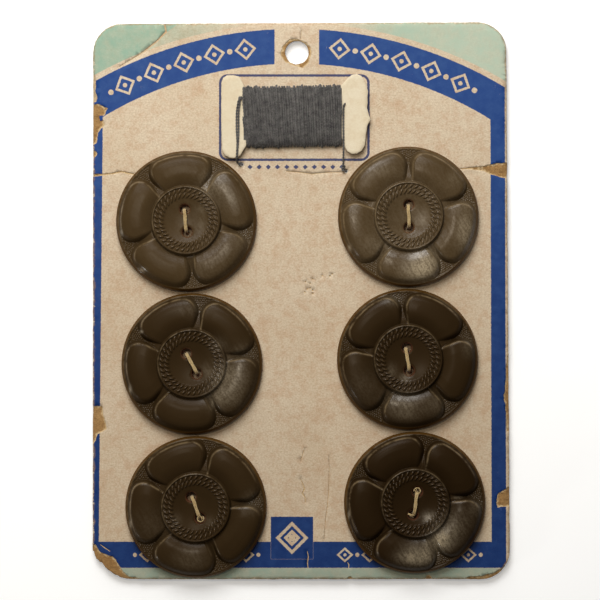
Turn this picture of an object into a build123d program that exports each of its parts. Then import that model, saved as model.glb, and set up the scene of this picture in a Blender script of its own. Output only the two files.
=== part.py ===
from build123d import *

import os
from math import atan2, cos, degrees, pi, radians, sin, sqrt, tan

# A card of coat buttons with a wound card bobbin of matching thread, lying on its back.
# +Z points up out of the printed face and +Y points to the hang hole.
# The origin is on the resting surface, under the middle of the card. Sizes are in millimetres.

# Flower buttons
button_diameter = 32.0
button_back_diameter = 29.8
rim_line_height = 1.2
land_diameter = 30.2
land_height = 2.4
petal_count = 5
petal_reach_diameter = 29.4
petal_gap = 0.25
petal_corner_radius = 4.2
petal_wall_height = 0.9
petal_wall_lean = 0.35
petal_shoulder_height = 0.55
petal_shoulder_lean = 0.75
petal_crown_height = 0.35
petal_crown_lean = 1.6
ring_diameter = 14.8
ring_height = 4.75
ring_wall_spread = 0.35
dish_depth = 1.0
dish_floor_diameter = 9.8
hole_spacing = 5.2
hole_diameter = 2.2
countersink_diameter = 2.9
countersink_depth = 0.35
turn_facets = 48
hole_facets = 12
corner_facets = 4

# How the buttons are set out and sewn
button_gap = 0.4
column_gap = 17.6
column_stagger = 1.0
sewing_drift = 1.2
bobbin_button_clearance = 0.45

# Threads
stitch_thread_diameter = 0.8
knot_diameter = 1.15
knot_length = 1.7
tie_thread_diameter = 0.6
tie_knot_diameter = 0.9
thread_clearance = 0.05
thread_sides = 6

# Backing card
card_thickness = 1.0
card_corner_radius = 6.6
side_margin = 6.7
bottom_margin = 1.0
face_paper_depth = 0.25
hang_hole_diameter = 5.5
hang_hole_drop = 7.0
hang_hole_offset = -0.9

# Card bobbin and its winding
bobbin_thickness = 0.8
bobbin_tab_height = 18.5
bobbin_waist_height = 11.8
bobbin_left_tab_width = 5.0
bobbin_right_tab_width = 6.1
bobbin_corner_radius = 2.3
bobbin_shoulder = 1.6
bobbin_gap = 2.8
bobbin_offset = -1.3
winding_length = 22.6
winding_layer = 1.05
winding_edge = 1.2
winding_corner = 0.9
winding_end_gap = 0.1
winding_turns = 32
winding_groove = 0.2

# Ties of the bobbin
tie_inset = 0.9
left_tie_drop = 5.4
left_tie_reach = 1.6
right_tie_drop = 6.5
right_tie_reach = 3.1

# Length by which every cut runs past what it cuts
overrun = 1.0

# Direction of each button's holes on the card, in degrees, row by row from the top left
sewing_angles = {
    "top_left": -83.5,
    "top_right": 90.0,
    "middle_left": -62.5,
    "middle_right": 96.0,
    "bottom_left": -67.0,
    "bottom_right": 79.0,
}

# How far each button was sewn to the right of its column, as shares of the sewing drift
drift_shares = {
    "top_left": -1.0,
    "top_right": -0.3,
    "middle_left": 0.1,
    "middle_right": -0.5,
    "bottom_left": 0.9,
    "bottom_right": 0.8,
}

# Places where the face paper is torn away, as shares of the card's width and height
torn_face_shares = {
    "left_upper": [
        (-0.51, 0.352), (-0.484, 0.352), (-0.466, 0.343), (-0.477, 0.328),
        (-0.473, 0.315), (-0.487, 0.297), (-0.51, 0.275),
    ],
    "left_lower": [
        (-0.51, -0.188), (-0.476, -0.186), (-0.466, -0.231), (-0.485, -0.240), (-0.51, -0.262),
    ],
    "left_corner": [
        (-0.51, -0.430), (-0.489, -0.438), (-0.475, -0.452), (-0.450, -0.460),
        (-0.435, -0.476), (-0.425, -0.489), (-0.400, -0.51), (-0.51, -0.51),
    ],
    "right_crease": [
        (0.428, 0.238), (0.51, 0.248), (0.51, 0.213), (0.455, 0.225),
    ],
    "right_notch": [
        (0.51, -0.330), (0.479, -0.343), (0.467, -0.350), (0.467, -0.369), (0.51, -0.370),
    ],
    "right_corner": [
        (0.51, -0.462), (0.494, -0.468), (0.482, -0.483), (0.466, -0.490), (0.455, -0.51), (0.51, -0.51),
    ],
}

# Corner of the board that is rubbed right away, as shares of the card's width and height
lost_corner_shares = [
    (-0.51, -0.452), (-0.490, -0.463), (-0.470, -0.478), (-0.446, -0.493), (-0.420, -0.51), (-0.51, -0.51),
]

# Bite out of the outer edge of the bobbin's right tab, as shares of the tab's width and height
bobbin_bite_shares = [
    (0.62, 0.16), (0.46, 0.09), (0.42, -0.05), (0.47, -0.15), (0.62, -0.22),
]

# Heights, from the resting surface upward
card_back = knot_diameter + thread_clearance
card_face = card_back + card_thickness
bobbin_base = card_face + winding_layer
back_bar_height = knot_diameter / 2

# Positions, from the top edge of the card downward
button_radius = button_diameter / 2
column_spacing = button_diameter + column_gap
row_pitch = button_diameter + button_gap
bobbin_width = bobbin_left_tab_width + winding_length + bobbin_right_tab_width
bobbin_overhang = column_spacing / 2 - bobbin_width / 2 - abs(bobbin_offset) + bobbin_corner_radius
corner_reach = button_radius + bobbin_button_clearance + bobbin_corner_radius
row_drop = sqrt(max(corner_reach ** 2 - bobbin_overhang ** 2, 0)) - bobbin_corner_radius
bobbin_drop = hang_hole_drop + hang_hole_diameter / 2 + bobbin_gap + bobbin_tab_height / 2
first_row_drop = bobbin_drop + bobbin_tab_height / 2 + row_drop
card_width = column_spacing + button_diameter + 2 * side_margin
card_height = first_row_drop + 2 * row_pitch + button_radius + bottom_margin
card_top = card_height / 2
hang_hole_y = card_top - hang_hole_drop
bobbin_y = card_top - bobbin_drop


def button_places():
    """Centre and sewing angle of each button on the card, by name."""
    places = {}
    for index, (name, angle) in enumerate(sewing_angles.items()):
        row, column = divmod(index, 2)
        side = 2 * column - 1
        x = side * column_spacing / 2 + drift_shares[name] * sewing_drift
        y = card_top - first_row_drop - row * row_pitch + side * column_stagger / 2
        places[name] = (x, y, angle)
    return places


def tie_places():
    """Upper and lower hole of each tie, in the plane of the card, by name."""
    left_x = bobbin_offset - bobbin_width / 2 + bobbin_left_tab_width - tie_inset
    right_x = bobbin_offset + bobbin_width / 2 - bobbin_right_tab_width + tie_inset
    tab_top = bobbin_y + bobbin_tab_height / 2
    tab_bottom = bobbin_y - bobbin_tab_height / 2
    return {
        "left": (left_x, tab_top - left_tie_drop, tab_bottom - left_tie_reach),
        "right": (right_x, tab_top - right_tie_drop, tab_bottom - right_tie_reach),
    }


def outline_face(shares, width, height):
    """Flat face from an outline given as shares of a width and a height."""
    points = [(x * width, y * height) for x, y in shares]
    return make_face(Polyline(*points, close=True))


def thread_section(diameter):
    """Cross-section of a thread."""
    return RegularPolygon(diameter / 2, thread_sides)


def thread_hole(diameter, height):
    """Hole pierced for a thread, standing on the plane."""
    return extrude(thread_section(diameter + 2 * thread_clearance), height)


def backing_card():
    """Board with rounded corners, a hang hole, pierced thread holes and torn places in its face."""
    board = extrude(RectangleRounded(card_width, card_height, card_corner_radius), card_thickness)
    cut_height = card_thickness + 2 * overrun
    lost = extrude(outline_face(lost_corner_shares, card_width, card_height), cut_height, dir=(0, 0, 1))
    board -= Pos(0, 0, -overrun) * lost
    for shares in torn_face_shares.values():
        torn_face = outline_face(shares, card_width, card_height)
        torn = extrude(torn_face, face_paper_depth + overrun, dir=(0, 0, 1))
        board -= Pos(0, 0, card_thickness - face_paper_depth) * torn
    hang_hole = Cylinder(hang_hole_diameter / 2, cut_height)
    board -= Pos(hang_hole_offset, hang_hole_y, card_thickness / 2) * hang_hole
    pierced = Pos(0, 0, -overrun) * thread_hole(stitch_thread_diameter, cut_height)
    for x, y, angle in button_places().values():
        for side in (-1, 1):
            board -= Pos(x, y, 0) * Rot(0, 0, angle) * Pos(side * hole_spacing / 2, 0, 0) * pierced
    pierced = Pos(0, 0, -overrun) * thread_hole(tie_thread_diameter, cut_height)
    for x, upper_y, lower_y in tie_places().values():
        for y in (upper_y, lower_y):
            board -= Pos(x, y, 0) * Rot(0, 0, 90) * pierced
    return Pos(0, 0, card_back) * board


def turned_band(low_radius, high_radius, low, high, facets):
    """Cone of flat facets between two heights, with its corners on the two radii."""
    wide_radius = max(low_radius, high_radius)
    inset = abs(low_radius - high_radius) * cos(pi / facets)
    lean = degrees(atan2(inset, high - low))
    band = extrude(RegularPolygon(wide_radius, facets), high - low, taper=lean)
    if low_radius < high_radius:
        return Pos(0, 0, high) * mirror(band, Plane.XY)
    return Pos(0, 0, low) * band


def button_body():
    """Round form of a button: flat back, bevelled rim, flat land, raised ring and hollow dish."""
    land = land_diameter / 2
    ring = ring_diameter / 2
    dish_floor = ring_height - dish_depth
    body = turned_band(button_back_diameter / 2, button_radius, 0, rim_line_height, turn_facets)
    body += turned_band(button_radius, land, rim_line_height, land_height, turn_facets)
    body += turned_band(ring + ring_wall_spread, ring, land_height, ring_height, turn_facets)
    return body - turned_band(dish_floor_diameter / 2, ring, dish_floor, ring_height, turn_facets)


def faceted(outline):
    """The outline with each of its arcs cut into flats."""
    points = []
    for edge in outline.face().outer_wire().order_edges():
        steps = 1 if edge.geom_type == GeomType.LINE else corner_facets
        points += [edge @ (index / steps) for index in range(steps)]
    return make_face(Polyline(*points, close=True))


def petal():
    """One petal, centred on the X axis: a drafted wall, a rounded shoulder and a low crown."""
    half_angle = radians(180 / petal_count)
    reach = petal_reach_diameter / 2
    tip = petal_gap / 2 / sin(half_angle)
    spread = reach * tan(half_angle)
    wedge = make_face(Polyline((tip, 0), (reach + tip, -spread), (reach + tip, spread), close=True))
    fan = wedge & Circle(reach)
    face = faceted(fillet(fan.vertices().sort_by(Axis.X)[1:], petal_corner_radius))
    level = land_height
    solid = Part()
    for height, lean in (
        (petal_wall_height, petal_wall_lean),
        (petal_shoulder_height, petal_shoulder_lean),
        (petal_crown_height, petal_crown_lean),
    ):
        layer = extrude(face, height, taper=degrees(atan2(lean, height)))
        solid += Pos(0, 0, level) * layer
        level += height
        face = Pos(0, 0, -height) * layer.faces().sort_by(Axis.Z)[-1]
    return solid


def button():
    """Moulded two-hole button with its holes on the X axis and a groove of the flower on +X."""
    middle = extrude(RegularPolygon(ring_diameter / 2, turn_facets), ring_height)
    flower = petal() - middle
    solid = button_body()
    for index in range(petal_count):
        solid += Rot(0, 0, (index + 1 / 2) * 360 / petal_count) * flower
    dish_floor = ring_height - dish_depth
    hole = extrude(RegularPolygon(hole_diameter / 2, hole_facets), dish_floor)
    mouth = turned_band(hole_diameter / 2, countersink_diameter / 2, dish_floor - countersink_depth,
                        dish_floor, hole_facets)
    for side in (-1, 1):
        solid -= Pos(side * hole_spacing / 2, 0, 0) * (hole + mouth)
    return solid


def button_stitch():
    """Loop of thread through both holes of a button and the card, knotted at the back."""
    radius = stitch_thread_diameter / 2
    leg_x = hole_spacing / 2
    bar_z = card_face + ring_height - dish_depth + radius + 2 * thread_clearance
    path = Polyline(
        (-thread_clearance, 0, back_bar_height),
        (-leg_x, 0, back_bar_height),
        (-leg_x, 0, bar_z - radius),
        (-leg_x + radius, 0, bar_z + radius / 2),
        (leg_x - radius, 0, bar_z + radius / 2),
        (leg_x, 0, bar_z - radius),
        (leg_x, 0, back_bar_height),
        (thread_clearance, 0, back_bar_height),
    )
    section = Plane(path @ 0, z_dir=path % 0) * thread_section(stitch_thread_diameter)
    loop = sweep(section, path, transition=Transition.RIGHT)
    knot = extrude(thread_section(knot_diameter), knot_length / 2, both=True)
    return loop + Pos(0, 0, back_bar_height) * Rot(0, 90, 0) * knot


def bobbin_tab(width):
    """End tab of the bobbin: rounded outside, with cut shoulders on its inner corners at -X."""
    blank = Rectangle(width, bobbin_tab_height)
    corners = blank.vertices().sort_by(Axis.X)
    blank = chamfer(corners[:2], bobbin_shoulder)
    corners = blank.vertices().sort_by(Axis.X)
    return fillet(corners[-2:], bobbin_corner_radius)


def thread_bobbin():
    """Flat card winder with two end tabs, a narrower waist and a hole for each tie."""
    left_end = -bobbin_width / 2
    right_end = bobbin_width / 2
    left_tab = Rot(0, 0, 180) * bobbin_tab(bobbin_left_tab_width)
    left_tab = Pos(left_end + bobbin_left_tab_width / 2, 0) * left_tab
    bite = outline_face(bobbin_bite_shares, bobbin_right_tab_width, bobbin_tab_height)
    right_tab = bobbin_tab(bobbin_right_tab_width) - bite
    right_tab = Pos(right_end - bobbin_right_tab_width / 2, 0) * right_tab
    waist = Rectangle(winding_length + 2 * bobbin_shoulder, bobbin_waist_height)
    waist_x = (bobbin_left_tab_width - bobbin_right_tab_width) / 2
    plate = extrude(left_tab + right_tab + Pos(waist_x, 0) * waist, bobbin_thickness)
    plate = Pos(bobbin_offset, bobbin_y, bobbin_base) * plate
    pierced = thread_hole(tie_thread_diameter, bobbin_thickness + 2 * overrun)
    pierced = Pos(0, 0, bobbin_base - overrun) * pierced
    for x, upper_y, _ in tie_places().values():
        plate -= Pos(x, upper_y, 0) * Rot(0, 0, 90) * pierced
    return plate


def winding_outline(inset):
    """Outline of the wound thread across the bobbin, inset from the crest of a turn."""
    height = bobbin_waist_height + 2 * winding_edge - 2 * inset
    depth = bobbin_thickness + 2 * winding_layer - 2 * inset
    cut = winding_corner - inset * (2 - sqrt(2))
    half_height = height / 2
    half_depth = depth / 2
    points = []
    for side_y, side_z in ((1, 1), (-1, 1), (-1, -1), (1, -1)):
        near_edge = (side_y * half_height, side_z * (half_depth - cut))
        near_face = (side_y * (half_height - cut), side_z * half_depth)
        points += [near_edge, near_face] if side_y * side_z > 0 else [near_face, near_edge]
    return Polyline(*points, close=True)


def thread_winding():
    """Turns of thread side by side round the waist of the bobbin, as one ridged sleeve."""
    length = winding_length - 2 * winding_end_gap
    half_turn = length / winding_turns / 2
    flank = degrees(atan2(winding_groove, half_turn))
    half = extrude(make_face(winding_outline(0)), half_turn, taper=flank)
    ridge = Plane.YZ * (half + mirror(half, Plane.XY))
    starts = [2 * index * half_turn - length / 2 for index in range(winding_turns)]
    sleeve = Part() + [Pos(start + half_turn, 0, 0) * ridge for start in starts]
    slot_depth = bobbin_thickness + 2 * thread_clearance
    slot_height = bobbin_waist_height + 2 * thread_clearance
    sleeve -= Box(length + 2 * overrun, slot_height, slot_depth)
    middle_x = bobbin_offset + (bobbin_left_tab_width - bobbin_right_tab_width) / 2
    return Pos(middle_x, bobbin_y, bobbin_base + bobbin_thickness / 2) * sleeve


def bobbin_tie(upper_y, lower_y):
    """Loop of thread over a bobbin tab, through the tab and the card, closed behind the card."""
    radius = tie_thread_diameter / 2
    tab_edge = bobbin_y - bobbin_tab_height / 2
    front_z = bobbin_base + bobbin_thickness + radius + thread_clearance
    back_z = card_back - tie_knot_diameter / 2 - thread_clearance
    middle_y = (upper_y + lower_y) / 2
    path = Polyline(
        (0, middle_y - thread_clearance, back_z),
        (0, lower_y, back_z),
        (0, lower_y, card_face + radius),
        (0, tab_edge - radius - thread_clearance, front_z),
        (0, upper_y, front_z),
        (0, upper_y, back_z),
        (0, middle_y + thread_clearance, back_z),
    )
    section = Plane(path @ 0, z_dir=path % 0) * thread_section(tie_thread_diameter)
    loop = sweep(section, path, transition=Transition.RIGHT)
    knot = extrude(thread_section(tie_knot_diameter), knot_length / 2, both=True)
    return loop + Pos(0, middle_y, back_z) * Rot(90, 0, 0) * knot


def make_parts():
    """Every piece of the card of buttons, by node name."""
    parts = {"backing_card": backing_card()}
    pattern = button()
    stitch = button_stitch()
    for name, (x, y, angle) in button_places().items():
        parts["button_" + name] = Pos(x, y, card_face) * Rot(0, 0, angle) * pattern
        parts["button_stitch_" + name] = Pos(x, y, 0) * Rot(0, 0, angle) * stitch
    parts["thread_bobbin"] = thread_bobbin()
    parts["thread_winding"] = thread_winding()
    for name, (x, upper_y, lower_y) in tie_places().items():
        parts["bobbin_tie_" + name] = Pos(x, 0, 0) * bobbin_tie(upper_y, lower_y)
    return parts


os.makedirs("parts", exist_ok=True)
for node, shape in make_parts().items():
    export_step(shape, f"parts/{node}.step")
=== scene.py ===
import logging
import math
from dataclasses import dataclass, field
from enum import Enum
from typing import Any, Sequence

import bmesh
import bpy
import numpy as np
from mathutils import Matrix, Vector, geometry


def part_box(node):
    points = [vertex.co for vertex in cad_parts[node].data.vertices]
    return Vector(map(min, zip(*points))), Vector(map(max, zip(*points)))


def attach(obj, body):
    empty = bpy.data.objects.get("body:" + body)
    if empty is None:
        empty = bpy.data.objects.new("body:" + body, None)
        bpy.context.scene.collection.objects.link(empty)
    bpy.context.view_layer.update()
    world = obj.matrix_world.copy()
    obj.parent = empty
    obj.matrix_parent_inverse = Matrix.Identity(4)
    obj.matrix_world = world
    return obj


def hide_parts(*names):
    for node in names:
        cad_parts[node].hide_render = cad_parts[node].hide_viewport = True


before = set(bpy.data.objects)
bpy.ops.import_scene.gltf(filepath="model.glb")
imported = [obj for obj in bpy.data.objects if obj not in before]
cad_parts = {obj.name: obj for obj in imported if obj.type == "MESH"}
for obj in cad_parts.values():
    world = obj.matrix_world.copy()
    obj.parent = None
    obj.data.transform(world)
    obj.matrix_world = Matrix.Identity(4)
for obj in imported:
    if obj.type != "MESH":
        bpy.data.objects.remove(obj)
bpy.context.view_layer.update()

# A card of coat buttons with a winder of matching thread, lying on its back on a pale floor.
# Lengths are in millimetres until a mesh is made, and +Y points to the hang hole.

MM = 0.001
BODY = "root"
LOG = logging.getLogger("button_card")

Point = tuple[float, float]
Spot = tuple[float, float, float]
Shade = tuple[int, int, int]
Outline = list[Point]
Socket = bpy.types.NodeSocket


def paint(red: int, green: int, blue: int) -> tuple[float, float, float, float]:
    """Colour for a shader socket from the shades that a colour chart gives.

    Args:
        red, green, blue: Shades from 0 to 255.

    Returns:
        The same colour as linear light, with full alpha.
    """
    shades = [shade / 255 for shade in (red, green, blue)]
    light = [s / 12.92 if s <= 0.04045 else ((s + 0.055) / 1.055) ** 2.4 for s in shades]
    return (light[0], light[1], light[2], 1.0)


# ---------------------------------------------------------------- meshes


class MeshDraft:
    """Points and faces of one piece while it is being made, in millimetres."""

    def __init__(self) -> None:
        """Start an empty draft."""
        self.points: list[np.ndarray] = []
        self.faces: list[tuple[int, ...]] = []
        self.coats: list[int] = []
        self.count = 0

    def add(self, points: np.ndarray, faces: Sequence[Sequence[int]]) -> None:
        """Add a block of points with the faces between them, in the first coat.

        Args:
            points: Places of the new points.
            faces: Faces as numbers of the new points.
        """
        first = self.count
        self.points.append(np.asarray(points, float))
        self.add_faces([[int(corner) + first for corner in face] for face in faces])
        self.count += len(points)

    def add_faces(self, faces: Sequence[Sequence[int]], coat: int = 0) -> None:
        """Add faces between points of the draft.

        Args:
            faces: Faces as numbers of the draft's points.
            coat: Number of the material that they wear.
        """
        self.faces.extend(tuple(face) for face in faces)
        self.coats.extend([coat] * len(faces))

    def finish(self, name: str, materials: Sequence[bpy.types.Material]) -> bpy.types.Object:
        """Turn the draft into an object of the scene.

        Args:
            name: Name of the piece.
            materials: Materials in the order of the coats.

        Returns:
            The new object, with smooth shading.
        """
        mesh = bpy.data.meshes.new(name)
        mesh.from_pydata((np.concatenate(self.points) * MM).tolist(), [], self.faces)
        for material in materials:
            mesh.materials.append(material)
        mesh.polygons.foreach_set("material_index", self.coats)
        mesh.polygons.foreach_set("use_smooth", [True] * len(mesh.polygons))
        mesh.validate()
        mesh.update()
        piece = bpy.data.objects.new(name, mesh)
        bpy.context.scene.collection.objects.link(piece)
        return piece


def dress(piece: bpy.types.Object, node: str) -> None:
    """Set a finished piece in the place of the solid that it stands for.

    Args:
        piece: The finished piece.
        node: Name of the solid.
    """
    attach(piece, BODY)
    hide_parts(node)
    LOG.info("%s: %d points, %d faces", piece.name, len(piece.data.vertices), len(piece.data.polygons))


def places_of(piece: bpy.types.Object) -> np.ndarray:
    """Places of a piece's points, in millimetres."""
    places = np.zeros(len(piece.data.vertices) * 3, np.float32)
    piece.data.vertices.foreach_get("co", places)
    return places.reshape(-1, 3).astype(float) / MM


def mark(piece: bpy.types.Object, name: str, values: np.ndarray) -> None:
    """Store one value for each point of a piece, for its material to read.

    Args:
        piece: The piece.
        name: Name of the attribute.
        values: One value for each point.
    """
    attribute = piece.data.attributes.new(name, "FLOAT", "POINT")
    attribute.data.foreach_set("value", np.asarray(values, np.float32))


def ramp(values: np.ndarray, low: float, high: float) -> np.ndarray:
    """Smooth step from 0 at low to 1 at high."""
    share = np.clip((values - low) / (high - low), 0, 1)
    return share * share * (3 - 2 * share)


def ring_outline(centre: Point, radius: float, count: int) -> Outline:
    """Points round a circle, anticlockwise."""
    turns = np.arange(count) * 2 * math.pi / count
    return [(centre[0] + radius * math.cos(t), centre[1] + radius * math.sin(t)) for t in turns]


def rounded_outline(width: float, height: float, radius: float, steps: int = 8) -> Outline:
    """Corner points of a rounded rectangle about the origin, anticlockwise.

    Args:
        width, height: Size of the rectangle.
        radius: Corner radius.
        steps: Runs in each corner.

    Returns:
        The outline's points.
    """
    points = []
    for quarter, (side_x, side_y) in enumerate(((1, 1), (-1, 1), (-1, -1), (1, -1))):
        for step in range(steps + 1):
            turn = (quarter + step / steps) * math.pi / 2
            points.append((side_x * (width / 2 - radius) + radius * math.cos(turn),
                           side_y * (height / 2 - radius) + radius * math.sin(turn)))
    return points


def ragged(outline: Sequence[Point], step: float, wander: float, seed: int) -> np.ndarray:
    """Outline cut into short runs whose points wander a little, as torn or cut paper does.

    Args:
        outline: Corner points.
        step: Length of a run.
        wander: How far a point wanders.
        seed: Seed of the random draws.

    Returns:
        The points of the ragged outline.
    """
    rng = np.random.default_rng(seed)
    corners = np.asarray(outline, float)
    runs = []
    for start, end in zip(corners, np.roll(corners, -1, axis=0)):
        count = max(1, int(np.hypot(*(end - start)) / step))
        runs.append(start + (end - start) * (np.arange(count) / count)[:, None])
    line = np.concatenate(runs)
    drift = rng.normal(0, 1, line.shape)
    slow = rng.normal(0, 1, line.shape)
    for _ in range(3):
        slow = (slow + np.roll(slow, 1, axis=0) + np.roll(slow, -1, axis=0)) / 3
    return line + wander * (0.45 * drift + 1.6 * slow)


def distance_to(outline: np.ndarray, points: np.ndarray) -> np.ndarray:
    """Distance from each point to a closed outline."""
    nearest = np.full(len(points), np.inf)
    for start, run in zip(outline, np.roll(outline, -1, axis=0) - outline):
        share = np.clip((points - start) @ run / max(run @ run, 1e-9), 0, 1)
        nearest = np.minimum(nearest, np.hypot(*(points - start - share[:, None] * run).T))
    return nearest


def smooth_route(points: Sequence[Sequence[float]], spacing: float) -> np.ndarray:
    """Even points on a smooth curve through the given ones.

    Args:
        points: Points that the curve passes through.
        spacing: Distance between neighbours of the result.

    Returns:
        The points of the curve.
    """
    given = np.asarray(points, float)
    ends = np.vstack([2 * given[0] - given[1], given, 2 * given[-1] - given[-2]])
    shares = np.linspace(0, 1, 24, endpoint=False)[:, None]
    curve = []
    for before, start, end, after in zip(ends, ends[1:], ends[2:], ends[3:]):
        curve.append(0.5 * (2 * start + (end - before) * shares
                            + (2 * before - 5 * start + 4 * end - after) * shares ** 2
                            + (3 * start - before - 3 * end + after) * shares ** 3))
    line = np.vstack(curve + [given[-1:]])
    return even_route(line, spacing)


def even_route(line: np.ndarray, spacing: float) -> np.ndarray:
    """The same line with its points at an even spacing."""
    lengths = np.concatenate([[0], np.cumsum(np.linalg.norm(np.diff(line, axis=0), axis=1))])
    count = max(4, int(lengths[-1] / spacing))
    targets = np.linspace(0, lengths[-1], count)
    return np.stack([np.interp(targets, lengths, line[:, axis]) for axis in range(3)], axis=1)


@dataclass
class Strand:
    """Sewing thread laid from a few plies twisted together."""

    diameter: float
    plies: int = 2
    lay: float = 1.6
    sides: int = 6
    end_share: float = 0.3
    swell: float = 1.12

    def frames(self, route: np.ndarray) -> tuple[np.ndarray, np.ndarray]:
        """Two directions across the route at each of its points, without twist."""
        ahead = np.gradient(route, axis=0)
        ahead /= np.linalg.norm(ahead, axis=1)[:, None]
        across = np.cross(ahead[0], (0.3, 0.2, 1.0) if abs(ahead[0][2]) < 0.9 else (1.0, 0.1, 0.0))
        sides = []
        for direction in ahead:
            across = across - direction * np.dot(across, direction)
            across /= np.linalg.norm(across)
            sides.append(across)
        across_all = np.array(sides)
        return across_all, np.cross(ahead, across_all)

    def lay_on(self, draft: MeshDraft, route: np.ndarray, turn: float = 0.0) -> None:
        """Lay the twisted plies along a route.

        Args:
            draft: Draft that takes the strand.
            route: Points of the strand's middle.
            turn: Angle of the first ply at the start.
        """
        across, up = self.frames(route)
        lengths = np.concatenate([[0], np.cumsum(np.linalg.norm(np.diff(route, axis=0), axis=1))])
        ply_radius = self.diameter / 2 / (1 + 1 / math.sin(math.pi / self.plies))
        offset = self.diameter / 2 - ply_radius
        ply_radius *= self.swell
        count = len(route)
        taper = np.ones(count)
        taper[0] = taper[-1] = self.end_share
        for ply in range(self.plies):
            angle = turn + 2 * math.pi * (lengths / self.lay + ply / self.plies)
            middle = route + offset * (np.cos(angle)[:, None] * across + np.sin(angle)[:, None] * up)
            rings = []
            for side in range(self.sides):
                way = angle + 2 * math.pi * side / self.sides
                reach = (ply_radius * taper)[:, None]
                rings.append(middle + reach * (np.cos(way)[:, None] * across + np.sin(way)[:, None] * up))
            points = np.stack(rings, axis=1).reshape(-1, 3)
            draft.add(points, tube_faces(count, self.sides))


def tube_faces(rows: int, sides: int) -> list[tuple[int, ...]]:
    """Faces of a tube whose points come ring by ring, with its ends closed."""
    faces: list[tuple[int, ...]] = []
    for row in range(rows - 1):
        for side in range(sides):
            beside = (side + 1) % sides
            faces.append((row * sides + side, row * sides + beside,
                          (row + 1) * sides + beside, (row + 1) * sides + side))
    faces.append(tuple(reversed(range(sides))))
    faces.append(tuple(range((rows - 1) * sides, rows * sides)))
    return faces


# ---------------------------------------------------------------- shader nodes


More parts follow.
